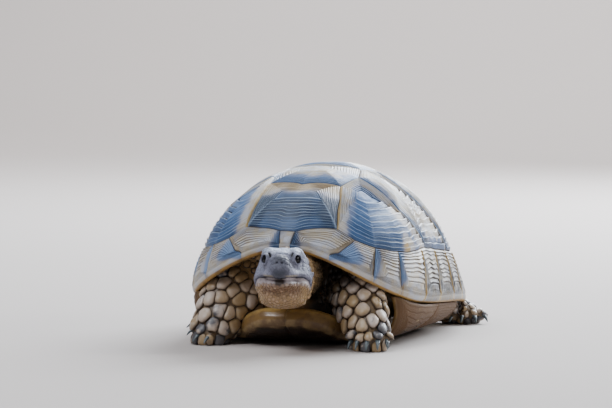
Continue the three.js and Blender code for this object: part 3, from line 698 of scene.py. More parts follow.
def buildPlate(spec, surface, lip, lipReach, material):
    # rows of points, each all round the plate: its areola, its rings, its wall or lip and its back
    unitSize = discUnit if surface is onCarapace else 1
    seed = sum(ord(c) * (i + 3) for i, c in enumerate(spec["name"]))
    rng = np.random.default_rng(seed)
    rough, cornerAt = denseOutline(spec["corners"], unitSize, surface is onCarapace)
    away, out, _ = lip(rough)
    free = 1 - smooth(away, 0.15, 0.5)
    outline = drawnIn(rough, (relief["inset"] / unitSize * (1 - free))[:, None])
    outline = outline - out * (lipReach * (1 - smooth(away, 0, 3 * lipReach)) / unitSize)[:, None]
    centre = np.array(spec["areola"])
    up = centre / np.linalg.norm(centre) if spec["kind"] == "marginal" else np.array([0, 1.0])
    turned = np.array([[up[1], -up[0]], up])
    inner = centre + (outline - centre) @ turned.T @ np.diag(spec["size"]) @ turned
    count = len(outline)
    edges = ringEdges(spec["rings"], rng)
    phases = np.array(relief["phases"])
    rows = np.concatenate([mix(edges[i], edges[i + 1], phases) for i in range(spec["rings"])] + [[1.0]])
    ring = np.concatenate([i + phases for i in range(spec["rings"])] + [[spec["rings"]]])
    t = rows[:, None]
    # the rings wander a little between the areola and the seam, and bend sharply at a ray
    flat = inner[None] + (outline - inner)[None] * t[..., None]
    swell = lambda at, length, seed: waves(at.reshape(-1, 2), length / unitSize, seed).reshape(at.shape[:2])
    wander = swell(flat, 13, seed)
    sway = relief["sways"][spec["kind"]] / spec["rings"] * wander * np.sin(math.pi * t) * mix(1, 0.5, t)
    flat = inner[None] + (outline - inner)[None] * (t + sway)[..., None]
    column = np.arange(count)
    ray = np.zeros(count)
    rayTone = 0.25 if spec["kind"] == "costal" else 1
    for index, push in spec["rays"]:
        off = np.abs((column - cornerAt[index] + count / 2) % count - count / 2) * relief["step"]
        ray = np.maximum(ray, np.maximum(0, 1 - off / 1.3))
        tent = np.maximum(0, 1 - off / relief["rayWidth"])[None] * np.sin(math.pi * np.clip(t, 0, 1))
        flat = flat + (tent * push / unitSize)[..., None] * unit(outline[cornerAt[index]] - centre)
    width = np.linalg.norm(outline - inner, axis=1)[None] * unitSize / spec["rings"]
    strength = np.clip(width / relief["fullRing"], 0.1, 1) ** 0.8
    strength = strength * (0.75 + 0.35 * swell(flat, 20, seed + 1))
    f = (ring % 1)[:, None]
    groove = np.exp(-((np.minimum(f, 1 - f) / 0.1) ** 2))
    yearly = rng.uniform(0.5, 1.3, spec["rings"] + 1)[np.floor(ring).astype(int)][:, None]
    height = -relief["groove"] * strength * groove * yearly + relief["terrace"] * strength * (0.5 - f)
    height = height + relief["crest"] * strength * bell(f, 0.2, 0.1)
    drop = relief["seamDrop"] * smooth(t, 1 - 0.9 / width / spec["rings"], 1) * (1 - free)
    height = height * relief["depths"][spec["kind"]] + 0.02 * swell(flat, 2.2, seed + 2)
    height = height * (1 - free * t ** 12) + relief["bulge"] * (1 - t ** 3) - drop
    # the areola: the plate it was hatched with, pitted and nearly flat
    inside = np.array([0.82, 0.6, 0.36, 0.14])[:, None]
    spot = centre + (inner - centre)[None] * inside[..., None]
    spotHeight = relief["bulge"] + 0.08 * swell(spot, 3, seed + 3) + 0.1 * (1 - inside ** 2)
    # the edge: a straight wall at a seam, a rounded lip where it is free
    turn = np.radians(relief["lipTurns"])[:, None]
    thick = lip(outline)[2]
    wallFlat = outline[None] + (out * free[:, None])[None] * (lipReach / unitSize * np.sin(turn))[..., None]
    wallHeight = height[-1] - (thick + height[-1]) * (1 - np.cos(turn)) / 2
    back = centre + (outline - centre)[None] * np.array([0.72, 0.35])[:, None, None]
    flatAll = np.concatenate([a.reshape(-1, 2) for a in (centre, spot[::-1], flat, wallFlat, back, centre)])
    deep = lambda places: -lip(places)[2]
    heights = (relief["bulge"] + 0.1, spotHeight[::-1], height, wallHeight, deep(back), deep(centre[None]))
    points = standing(surface(flatAll, np.concatenate([np.ravel(h) for h in heights])))
    walls = len(turn)
    quads, caps = facingOut(points, *tube(len(inside) + len(rows) + walls + len(back), count))
    areola, tail = 1 + len(inside) * count, len(back) * count + 1

    def spread(onAreola, onRings, onWall, onBack):
        # one value for every point, from one for the areola, the rings, the wall and the back
        onRings = np.broadcast_to(onRings, (len(rows), count)).ravel()
        onWall = np.broadcast_to(onWall, (walls, count)).ravel()
        return np.concatenate([np.full(areola, onAreola), onRings, onWall, np.full(tail, onBack)])

    crack = (1 - free) * smooth(t, 1 - 0.4 / width / spec["rings"], 1)
    outside = spec["rings"] + 0.5
    attributes = dict(
        ring=spread(0.5, ring[:, None], outside, outside),
        ray=spread(0, ray * smooth(t, 0, 0.1), 0, 0) * rayTone,
        under=spread(0, 0, (1 - np.cos(turn)) / 2, 1),
        wide=spread(0, strength, 0, 0),
        seam=spread(0, crack, 1 - free, 0),
        **markings(spec, flatAll, unitSize, seed),
    )
    mesh = buildMesh(spec["name"], points, [quads, caps], attributes)
    addPiece("plate_" + spec["name"], mesh, material, (spec["name"],))


def markings(spec, flat, unitSize, seed):
    # dark: how far, in millimetres, each point lies inside the dark markings; below 0 it is pale
    # deep: 1 where the dark horn is blackest; amber: 1 where pale horn is stained
    kind, which = spec["kind"], spec["which"]
    corners = [np.array(c) for c in spec["corners"]]
    to = lambda *path: nearestOn(flat, [corners[i] for i in path])[0] * unitSize
    mirrored = flat * (1 if spec["areola"][0] > 0 else -1, 1)
    off = lambda place: np.linalg.norm(mirrored - place, axis=-1) * unitSize
    blot = waves(flat, 9 / unitSize, seed + 5) * 0.9 + waves(flat, 3.4 / unitSize, seed + 6) * 0.45
    rho = np.hypot(flat[:, 0], flat[:, 1])
    last = len(corners) - 1
    dark, deep, amber = np.full(len(flat), -3.0), np.full(len(flat), 0.5), np.zeros(len(flat))
    if kind == "nuchal":
        dark = -2 + blot
    elif kind == "vertebral" and which == 0:  # pale only behind
        band = 8.6 + 3.2 * smooth(np.abs(flat[:, 0] + 0.015) * unitSize, 8, 15)
        dark = np.minimum(np.minimum(to(2, 3, 4) - band + 0.5 * blot, to(4, 5) + 1.6), to(1, 2) + 2.2)
        dark = np.minimum(dark, 12)
        deep = mix(0.5, 0.85, smooth(to(2, 3, 4), 8, 20)) - 0.5 * smooth(to(2, 3, 4), 24, 34)
        deep = deep + 0.5 * (1 - smooth(np.minimum(to(1, 2), to(4, 5)), 5, 11))
        amber = (1 - smooth(to(4, 5), 0.4, 1.3)) + 0.55 * (1 - smooth(to(2, 3, 4), 5, 10))
    elif kind == "vertebral":
        fore = 8 - to(6, 7, 0) if which < 4 else 9 - to(3, 4, 0)
        aside = 4.0 - np.minimum(to(0, 1), to(5, 6)) if which < 4 else fore
        dark = np.maximum(fore, aside) + 1.3 * blot
        deep = -0.15 + 0.5 * smooth(fore, 0, 6)
    elif kind == "costal" and which == 0:
        dark = np.minimum(np.minimum(to(0, 1) - 5.4, to(6, 7, 8) - 7.5), to(8, 0) - 4.5) + 0.8 * blot
        dark = np.minimum(dark, off((0.625, -0.455)) - 6.5 + blot)
        dark = np.minimum(np.maximum(dark, 2.6 - off((0.53, -0.484))), 9)
        deep = mix(0.2, -0.2, smooth(to(1, 2, 3, 4, 5), 3, 19))
        spots = np.minimum(off((0.603, -0.489)) - 2.6, np.abs(off((0.5, -0.585))) - 1.6)
        amber = np.maximum(1 - smooth(to(0, 1), 0.5, 1.4), 1 - smooth(spots, 0, 1.5))
    elif kind == "costal":
        front, foot = to(1, 2, 3), off(np.abs(corners[3]) * (1, 0) + corners[3] * (0, 1))
        low = to(3, 4, 5) if which < 3 else to(3, 4, 5, 6)
        dark = np.maximum(np.maximum(3 - front, 11 - foot), 4.5 - low) + 1.5 * blot
        deep = 0.75 - 0.4 * smooth(foot, 6, 22)
    elif kind == "marginal" and which == 11:
        dark = 1 - np.abs(flat[:, 0]) * unitSize * 0.25 + blot
    elif kind == "marginal":
        ahead, behind, soot = to(0, last), to(last - 2, last - 1), 0
        share = (rho - 0.83) / 0.17
        if which == 0:
            dark = mix(1.6, 6.8, np.clip((rho - 0.88) / 0.12, 0, 1)) - ahead + 0.3 * blot
        elif which == 1:
            dark = 9.2 * smooth(share, -0.05, 0.62) * (1 - smooth(share, 0.7, 1)) - ahead + 0.5 * blot
            deep[:] = -0.85
        elif which == 2:
            dark = 3.4 * (1 - smooth(share, 0.7, 1)) - ahead + 0.9 * blot - 0.4
            deep[:] = -0.5
        elif which == 3:
            dark = 4 * (1 - smooth(share, 0.4, 0.8)) - ahead + 1.2 * blot
            deep[:] = -0.6
        else:  # a blotch on the areola, between pale stripes at the seams
            sides = np.minimum(ahead, behind) - 1.3
            blotch = 2.8 - np.abs(rho - 0.935) * unitSize
            soot = smooth(np.minimum(sides, blotch) + 1.3 * blot - 0.6, -0.2, 0.9)
            soot = np.maximum(soot, 0.55 * smooth(sides + 0.6 * blot, 0.2, 2.2))
        amber = (1 - smooth(np.minimum(ahead, behind), 0.7, 2.2)) * (0.35 if which < 3 else 1) - soot
    else:  # the underside: a dark smudge in the middle of each plate
        dark = 9 - off((abs(spec["areola"][0]), spec["areola"][1])) * 0.62 + 2.2 * blot
        amber = smooth(np.abs(flat[:, 0]), 30, 42)
        if which in ("gular", "humeral"):  # the thick front edge is golden above and black below
            # the face below the golden edge is painted black: painted shade under the lip
            dark = np.minimum(dark + 10, bellyLip(flat)[0] * 1.3 - 5 + blot)
    return dict(dark=dark, deep=deep, amber=amber)


# pale horn, dark horn painted slate blue as sky reflection and with a pale painted sheen, then the lip and
# underside, the stains and the shine
hornLook = dict(
    straw=(0.38, 0.315, 0.22), cream=(0.56, 0.52, 0.44), grey=(0.43, 0.46, 0.54), tan=(0.10, 0.07, 0.045),
    ochre=(0.46, 0.32, 0.13), lilac=(0.30, 0.31, 0.40),
    black=(0.003, 0.005, 0.012), ink=(0.012, 0.028, 0.066), slate=(0.074, 0.158, 0.345),
    paintedSheen=(0.40, 0.53, 0.72),
    lower=(0.40, 0.235, 0.07), upper=(0.20, 0.10, 0.030), crack=(0.07, 0.05, 0.04),
    soot=(0.014, 0.013, 0.015), gloss=0.1, shine=0.32, rough=0.32, lipGloss=0.1, coatRough=0.28,
)
bellyLook = dict(
    hornLook,
    straw=(0.24, 0.155, 0.07), cream=(0.36, 0.25, 0.12), grey=(0.15, 0.095, 0.055), tan=(0.09, 0.05, 0.027),
    ochre=(0.105, 0.052, 0.018), lilac=(0.10, 0.06, 0.03),
    black=(0.006, 0.004, 0.003), ink=(0.014, 0.009, 0.007), slate=(0.035, 0.02, 0.012),
    paintedSheen=(0.08, 0.05, 0.03), lower=(0.2, 0.115, 0.038), upper=(0.46, 0.29, 0.09),
    gloss=0.04, shine=0.22, rough=0.42, lipGloss=0.4, coatRough=0.16,
)


def hornFinish(name, k, amberShare):
    f = Finish(name, Specular_IOR_Level=k["shine"], Coat_Roughness=k["coatRough"], IOR=1.5)
    ring, ray, seam, under = (f.field(n) for n in ("ring", "ray", "seam", "under"))
    dark, deep, amber, wide = (f.field(n) for n in ("dark", "deep", "amber", "wide"))
    # fine lines that follow the rings, on two scales
    streak = f.noise(1, 3, where=f.drawn(ring, (1.9, 2.7, 1.3), 70))
    fine = f.noise(1, 3, where=f.drawn(ring, (5.5, 3.9, 7.1), 150))
    mottle = f.noise(210, 4)
    grain = f.noise(1400, 3, 0.6)
    phase = ring.math("FRACT", ring)
    groove = f.triangle(phase).ramp(0.7, 0.93)
    crest = phase.ramp(0.06, 0.13) * (1 - phase.ramp(0.2, 0.3))
    # pale horn: straw and cream in lines, greyer in places, brown in the grooves, partly the horn's own
    # colour and partly painted shade
    pale = f.blend(streak.ramp(0.32, 0.66), k["straw"], k["cream"])
    pale = f.blend(mottle.ramp(0.36, 0.66) * 0.85, pale, k["grey"])
    pale = f.blend((amber * mottle.ramp(0.2, 0.5) * amberShare).clamp(), pale, k["ochre"])
    pale = f.blend((groove * (wide * 0.8 + 0.1) + fine.ramp(0.56, 0.72) * 0.38).clamp(), pale, k["tan"])
    # dark horn: ink with slate lines, black in the grooves, partly dark horn and partly painted shade, and a
    # painted pale highlight on the crests, the rays and the most worn streaks
    worn = (streak * 1.3 + fine * 0.5 + mottle * 0.5 - deep * 0.75 - 0.42).clamp()
    # where worn is high the dark horn turns slate blue: painted sky reflection, not the horn's own colour
    inky = f.blend(worn, k["ink"], k["slate"])
    inky = f.blend(worn.ramp(0.75, 1.3) * 0.5, inky, k["paintedSheen"])
    inky = f.blend((crest * (wide + 0.2) * (fine + 0.15) * (deep * 0.3 + 0.75)).clamp(), inky, k["paintedSheen"])
    inky = f.blend((groove * (wide + 0.25)).clamp(), inky, k["black"])
    inky = f.blend((ray * 0.5).clamp(), inky, k["paintedSheen"])
    # the markings' edges break up ring by ring, and are lilac where the two mingle
    place = dark + streak * 3.4 + fine * 1.5 + grain * 0.8 - 2.85
    colour = f.blend(place.ramp(-0.9, 0.7), pale, inky)
    mingled = (1 - place.math("ABSOLUTE", place) * 0.38).clamp() * 0.5
    colour = f.blend(mingled * (1 - groove), colour, k["lilac"])
    colour = f.blend(((0 - amber) * (streak + 0.45)).clamp() * 0.85, colour, k["soot"])
    colour = f.blend(seam * 0.6, colour, k["crack"])
    # round the free edge the horn turns from the lower to the upper colour: the rim's underside and the lip's
    # lower side are painted darker, as shade on the sides facing down
    below = f.blend(under.ramp(0.45, 0.8), k["lower"], k["upper"])
    below = f.blend(mottle.ramp(0.45, 0.7) * 0.5, below, k["tan"])
    lip = under.ramp(0.14, 0.26)
    colour = f.blend(lip, colour, below)
    f.set("Base Color", colour)
    f.set("Roughness", k["rough"] + mottle * 0.16 + groove * 0.2 + fine * 0.1 - lip * k["lipGloss"] * 0.5)
    f.set("Coat Weight", lip * k["lipGloss"] + k["gloss"])
    f.bump(fine * 0.5 + streak * 0.5 + grain * 0.3, 0.0006, 0.5)
    return f.material


carapaceHorn = hornFinish("carapaceHorn", hornLook, 1.2)
plastronHorn = hornFinish("plastronHorn", bellyLook, 2)
for spec in carapacePlates():
    buildPlate(spec, onCarapace, rimLip, 2.4, carapaceHorn)
print("the carapace's plates are made")
for spec in plastronPlates():
    buildPlate(spec, onPlastron, bellyLip, 3.6, plastronHorn)
print("the plastron's plates are made")


def gridLine(*spans):
    # spans of (from, to, step), laid end to end
    return np.concatenate([np.linspace(a, b, round((b - a) / step), endpoint=False) for a, b, step in spans])


def blendedMin(a, b, k):
    h = np.clip(0.5 + 0.5 * (b - a) / k, 0, 1)
    return b + (a - b) * h - k * h * (1 - h)


def blendedMax(a, b, k):
    return -blendedMin(-a, -b, k)


def length3(x, y, z):
    return np.sqrt(x ** 2 + y ** 2 + z ** 2)


def oval(x, y, z, centre, radii, square=2):
    # about the distance to an ellipsoid, or to one with squarer shoulders
    px, py, pz = (np.abs(v - c) / r for v, c, r in zip((x, y, z), centre, radii))
    n = square
    k0 = (px ** n + py ** n + pz ** n) ** (1 / n)
    k1 = length3(*(v ** (n - 1) / r for v, r in zip((px, py, pz), radii)))
    return k0 ** (n - 1) * (k0 - 1) / np.maximum(k1, 1e-4)


def rod(x, y, z, a, b, ra, rb):
    # a straight limb of round section from a to b
    a, b = np.array(a, float), np.array(b, float)
    axis = b - a
    px, py, pz = x - a[0], y - a[1], z - a[2]
    t = np.clip((px * axis[0] + py * axis[1] + pz * axis[2]) / (axis @ axis), 0, 1)
    return length3(px - t * axis[0], py - t * axis[1], pz - t * axis[2]) - mix(ra, rb, t)


def finer(stations):
    # a smooth line through the stations, in four steps from each to the next
    s = np.array(stations, float)
    s = np.concatenate([[2 * s[0] - s[1]], s, [2 * s[-1] - s[-2]]])
    out = []
    for i in range(1, len(s) - 2):
        a, b, c, d = s[i - 1 : i + 3]
        for t in (0, 0.25, 0.5, 0.75):
            curve = (2 * a - 5 * b + 4 * c - d) * t * t + (3 * b - a - 3 * c + d) * t ** 3
            out.append(0.5 * (2 * b + (c - a) * t + curve))
    return np.array(out + [s[-2]])


class Limb:
    # a bent tube of oval section; stations are x, y, z, half width and half depth
    # across: which way its width lies; flesh: how far the skin lies inside; claws: root and tip of each
    def __init__(self, name, stations, across, flesh, claws=()):
        self.name, self.claws = name, claws
        self.line = finer(stations)
        self.line[:, 3:] -= flesh  # the scales stand on the skin
        self.across = np.array(across, float)

    def distance(self, x, y, z, where=False):
        best = share = None
        count = len(self.line) - 1
        for i in range(count):
            a, b = self.line[i], self.line[i + 1]
            axis = b[:3] - a[:3]
            length = np.linalg.norm(axis)
            e = axis / length
            u = unit(self.across - (self.across @ e) * e)
            v = np.cross(e, u)
            px, py, pz = x - a[0], y - a[1], z - a[2]
            along = px * e[0] + py * e[1] + pz * e[2]
            t = np.clip(along / length, 0, 1)
            w, h = mix(a[3], b[3], t), mix(a[4], b[4], t)
            over = (along - t * length) / np.minimum(w, h)
            cu = (px * u[0] + py * u[1] + pz * u[2]) / w
            cv = (px * v[0] + py * v[1] + pz * v[2]) / h
            d = (np.sqrt(cu * cu + cv * cv + over * over) - 1) * np.minimum(w, h)
            if best is None:
                best, share = d, t / count
            else:
                if where:
                    share = np.where(d < best, (i + t) / count, share)
                best = np.minimum(best, d)
        return (best, share) if where else best

    def axis(self, share):
        # the way down the limb, the way across it and its middle
        place = share * (len(self.line) - 1)
        i = np.clip(place.astype(int), 0, len(self.line) - 2)
        e = unit(self.line[i + 1, :3] - self.line[i, :3])
        u = unit(self.across - np.sum(self.across * e, -1, keepdims=True) * e)
        return e, u, mix(self.line[i, :3], self.line[i + 1, :3], (place - i)[..., None])


hindStations = (
    (26, 48, 27, 13, 12), (37, 58, 21, 14, 12), (45, 65, 13, 12, 9.5), (55, 72, 7, 10.5, 8),
    (60, 75, 3, 10, 8.5),
)
hindClaws = (
    ((55, 67.5, 4.5), (54, 61, 1.2)), ((60.5, 66.5, 5), (61, 60, 1.2)), ((66, 69, 5.2), (69, 63.5, 1.2)),
    ((69.5, 73.5, 5), (74, 70.5, 1.2)),
)
# the right hind leg stands a little further forward and in
hindShift = np.array([-4, -12, 0])
hindRight = []
for i, (x, y, z, w, d) in enumerate(hindStations):
    share = i / 4
    hindRight.append((-(x + hindShift[0] * share), y + hindShift[1] * share, z, w, d))
hindRightClaws = [[(-(x + hindShift[0]), y + hindShift[1], z) for x, y, z in ends] for ends in hindClaws]

limbs = dict(
    foreleg_left=Limb(
        "foreleg_left",
        ((18, -40, 35, 13, 11), (26, -50, 33, 15, 11), (33, -59, 26, 15, 10.5), (39.5, -68, 16, 13.2, 10),
         (43.5, -74, 8, 10.6, 9.5), (45, -76, 3, 9.6, 9.5)),
        across=(1, -0.15, 0.5), flesh=1.0,
        claws=(((37, -79.5, 5.5), (35.8, -86, 1.2)), ((41, -82, 6), (40.6, -89, 1.2)),
               ((45.8, -82.5, 6), (46.4, -89.5, 1.2)), ((50.4, -80.5, 6), (52, -87.5, 1.2)),
               ((53, -76, 6), (56, -82, 1.2))),
    ),
    foreleg_right=Limb(
        "foreleg_right",
        ((-20, -38, 35, 13, 11), (-27, -49, 33, 15.5, 11.5), (-33, -57, 26, 16, 11),
         (-38.5, -63, 16, 14.5, 10.5), (-42, -67, 8, 11.5, 10.5), (-43.5, -68, 3, 10.5, 10.5)),
        across=(1, 0.3, -0.5), flesh=1.0,
        claws=(((-41, -76, 4.5), (-43, -83, 1.2)), ((-46, -75, 5.5), (-50, -80.5, 1.5)),
               ((-50, -72, 7.5), (-55, -75.5, 4.5)), ((-51.5, -68, 10), (-57, -70, 8)),
               ((-50.5, -63.5, 12.5), (-56, -64, 11.5))),
    ),
    hindleg_left=Limb("hindleg_left", hindStations, across=(1, -0.6, 0.5), flesh=0.7, claws=hindClaws),
    hindleg_right=Limb("hindleg_right", hindRight, across=(1, 0.6, -0.5), flesh=0.7, claws=hindRightClaws),
    neck=Limb(
        "neck",
        ((0, -52, 37, 17, 15), (1, -68, 38, 15, 14.5), (3, -82, 39.5, 13.4, 13.6),
         (4.5, -92, 40, 12.6, 12.6)),
        across=(1, 0, 0), flesh=0.6,
    ),
    tail=Limb(
        "tail",
        ((0, 68, 24, 9, 8), (1, 82, 18, 7, 6.5), (3, 92, 12, 4.6, 4.4), (6, 98, 7.5, 2.2, 2.2)),
        across=(1, 0, 0), flesh=0.5,
    ),
)

headShape = dict(
    # centre, radii, how softly each joins what is there, squareness; those off the middle are mirrored
    skull=(
        ((0, 3, -1.0), (12.5, 14.6, 10.5), 1, 2.6), ((0, -7.6, 0.0), (8.4, 9.6, 7.6), 2.5, 2.2),
        ((0, -14.8, -1.2), (5.6, 6.2, 5.9), 2.0, 2.2), ((0, -11.5, -4.4), (8.4, 9.2, 4.6), 2.5, 2.3),
        ((6.9, -4.8, 6.3), (3.7, 7.2, 2.8), 2.0, 2), ((8.6, -1.2, -5.4), (5.6, 10.0, 6.2), 3, 2),
    ),
    jaw=(
        ((0, -7.3, -9.9), (8.9, 11.4, 4.2), 1.5, 2.2), ((7.6, -0.5, -9.6), (6.6, 10.2, 5.4), 2.5, 2),
        ((0, 2.6, -13.3), (11.9, 12.6, 7.8), 2.5, 2.8), ((0, -3.4, -14.6), (9.4, 9.0, 6.0), 2, 2.6),
    ),
    folds=(  # folds of skin at the corners of the mouth: both ends and the width
        ((14.0, 6.5, -3.0), (12.9, 2.0, -9.5), 1.0), ((12.9, 2.0, -9.5), (10.4, -1.4, -14.8), 0.9),
        ((10.4, -1.4, -14.8), (10.6, 3.4, -18.4), 0.8),
        ((12.6, 13, 2.0), (13.8, 12, -7.0), 1.0), ((13.8, 12, -7.0), (12.2, 8, -15.0), 0.9),
    ),
    mouthY=(-30, -20, -16, -12, -8, -4, -1, 3, 20),
    mouthZ=(-6.2, -7.2, -6.5, -6.1, -6.3, -7.5, -9.1, -11.2, -12),
    mouthEnd=0.5, mouthGap=0.24, mouthDepth=2.2, beakTip=0.75, overhang=0.45, gum=0.75, wrinkles=0.07,
    browHeight=4.9, browBend=0.06, browDepth=0.75, socketRadius=5.7, socketDepth=0.6, lidFold=0.2,
    eyeWay=(0.75, -0.66, 0.04),  # where the left eye looks
    lidOpening=(2.15, 2.15),  # half its length and half its height
    lid=4.05, nostril=((1.3, -20.6, 0.25), 0.62), ear=((12.9, 8, -2.4), 2.8), earDepth=0.5, earRim=0.3,
)


def mouthLine(x, y):
    z = np.interp(y, headShape["mouthY"], headShape["mouthZ"])
    return z - headShape["beakTip"] * bell(x, 0, 2.1) * smooth(-y, 12, 18)


def eyeAxes():
    way = unit(np.array(headShape["eyeWay"]))
    length = unit(np.cross(way, (0, 0, 1.0)))  # towards the snout along the lids
    return way, length, np.cross(length, way)


def headDistance(x, y, z):
    s = headShape
    ax = np.abs(x)
    d = None
    for centre, radii, k, square in (*s["skull"], *s["jaw"]):
        part = oval(ax, y, z, centre, radii, square)
        d = part if d is None else blendedMin(d, part, k)
    for a, b, width in s["folds"]:
        d = blendedMin(d, rod(ax, y, z, a, b, width, width), 1.1)
    # the snout is a rounded bump below a bar across the brow
    arch = z - s["browHeight"] + s["browBend"] * ax * ax
    hollow = np.exp(-((arch / 1.0) ** 2) - (((y + 13.5) / 2.8) ** 2))
    d = d + s["browDepth"] * hollow * (1 - smooth(ax, 3.4, 6.5))
    # fine upright wrinkles on the beak
    wrinkles = np.cos(x * 5.3 + 1.2 * np.sin(z * 1.1)) * bell(z, -3.4, 2.6) * (1 - smooth(y, -14, -9))
    d = d + s["wrinkles"] * wrinkles
    # the beak overhangs the lower jaw, and a slit parts them as far back as the corner
    above = z - mouthLine(x, y)
    front = 1 - smooth(y, s["mouthEnd"] - 4, s["mouthEnd"] + 2)
    d = d - s["overhang"] * front * bell(above, 1.3, 1.2)
    d = d + s["gum"] * front * bell(above, -1.1, 1.3)
    slit = np.maximum(np.abs(above) - s["mouthGap"], np.maximum(y - s["mouthEnd"], -d - s["mouthDepth"]))
    d = np.maximum(d, -slit)
    centre, radius = s["nostril"]
    d = blendedMax(d, -oval(ax, y, z, centre, (radius, 1.5, radius * 0.85)), 0.3)
    # the ear is a flat, sunken disc
    centre, radius = s["ear"]
    away = length3(ax - centre[0], y - centre[1], z - centre[2])
    rim = np.exp(-(((away - radius - 0.3) / 0.5) ** 2))
    d = d + s["earDepth"] * (1 - smooth(away, radius - 0.7, radius)) - s["earRim"] * rim
    # the eye sits in a socket behind thick lids
    way, length, tall = eyeAxes()
    ex, ey, ez = ax - eyeSpec["centre"][0], y - eyeSpec["centre"][1], z - eyeSpec["centre"][2]
    u, v, w = (ex * k[0] + ey * k[1] + ez * k[2] for k in (length, tall, way))
    r = np.sqrt(ex * ex + ey * ey + ez * ez)
    a, b = s["lidOpening"]
    opening = (np.sqrt((u / a) ** 2 + (v / b) ** 2) - 1) * b
    d = d + s["socketDepth"] * bell(r, s["socketRadius"], 1.2) * smooth(w, -1, 1)
    d = blendedMin(d, r - s["lid"], 0.8)
    rim = np.sqrt((opening - 0.3) ** 2 + (r - s["lid"]) ** 2) - 0.5
    d = blendedMin(d, np.where(w > 0.5, rim, 4), 0.35)
    d = d + s["lidFold"] * bell(opening, 1.35, 0.25) * (w > 0)
    d = np.maximum(d, eyeSpec["radius"] + 0.04 - r)
    return np.maximum(d, -np.maximum(opening, -w))


class ShellRoom:
    # how far points lie under the dome's outer face, out towards the rim and above the floor of the shell
    def __init__(self):
        theta = np.linspace(-math.pi, math.pi, 1441)
        x, y, z = rimPoint(theta)
        angle = np.arctan2(x, -(y - dome["apexBack"]))
        order = np.argsort(angle)
        self.angle = angle[order]
        self.reach = np.hypot(x, y - dome["apexBack"])[order]
        self.rimZ = z[order]
        self.slope = rimSlope(np.degrees(np.abs(theta)))[order]

    def top(self, x, y):
        angle = np.arctan2(x, -(y - dome["apexBack"]))
        reach, rimZ, slope = (np.interp(angle, self.angle, v) for v in (self.reach, self.rimZ, self.slope))
        out = np.hypot(x, y - dome["apexBack"]) / reach
        fall = (np.cos(np.arcsin(np.clip(out, 0, 1) * np.sin(slope))) - np.cos(slope)) / (1 - np.cos(slope))
        return mix(rimZ, dome["apexHeight"], np.maximum(fall, 0) ** dome["shoulder"]), out

    def measure(self, x, y, z):
        c, s = math.cos(stance["pitch"]), math.sin(stance["pitch"])
        down = z - stance["lift"]
        ly, lz = c * y - s * down, s * y + c * down
        height, out = self.top(x, ly)
        e = 0.5
        sx = (self.top(x + e, ly)[0] - self.top(x - e, ly)[0]) / (2 * e)
        sy = (self.top(x, ly + e)[0] - self.top(x, ly - e)[0]) / (2 * e)
        depth = (height - lz) / np.sqrt(1 + sx * sx + sy * sy)
        rimX = dome["halfWidth"]
        for _ in range(3):
            rimX, _, rimZ = rimPoint(np.arctan2(rimX, -ly))
        reach = rimX - (under["flat"] + under["rimInset"])
        share = np.clip((np.abs(x) - under["flat"]) / np.maximum(reach, 1), 0, 1)
        turn = np.arcsin(share)
        floor = mix(rimZ - under["rimGap"], bellyLevel(ly), np.cos(turn))
        return depth, out, (lz - floor) * np.cos(turn * 0.8)


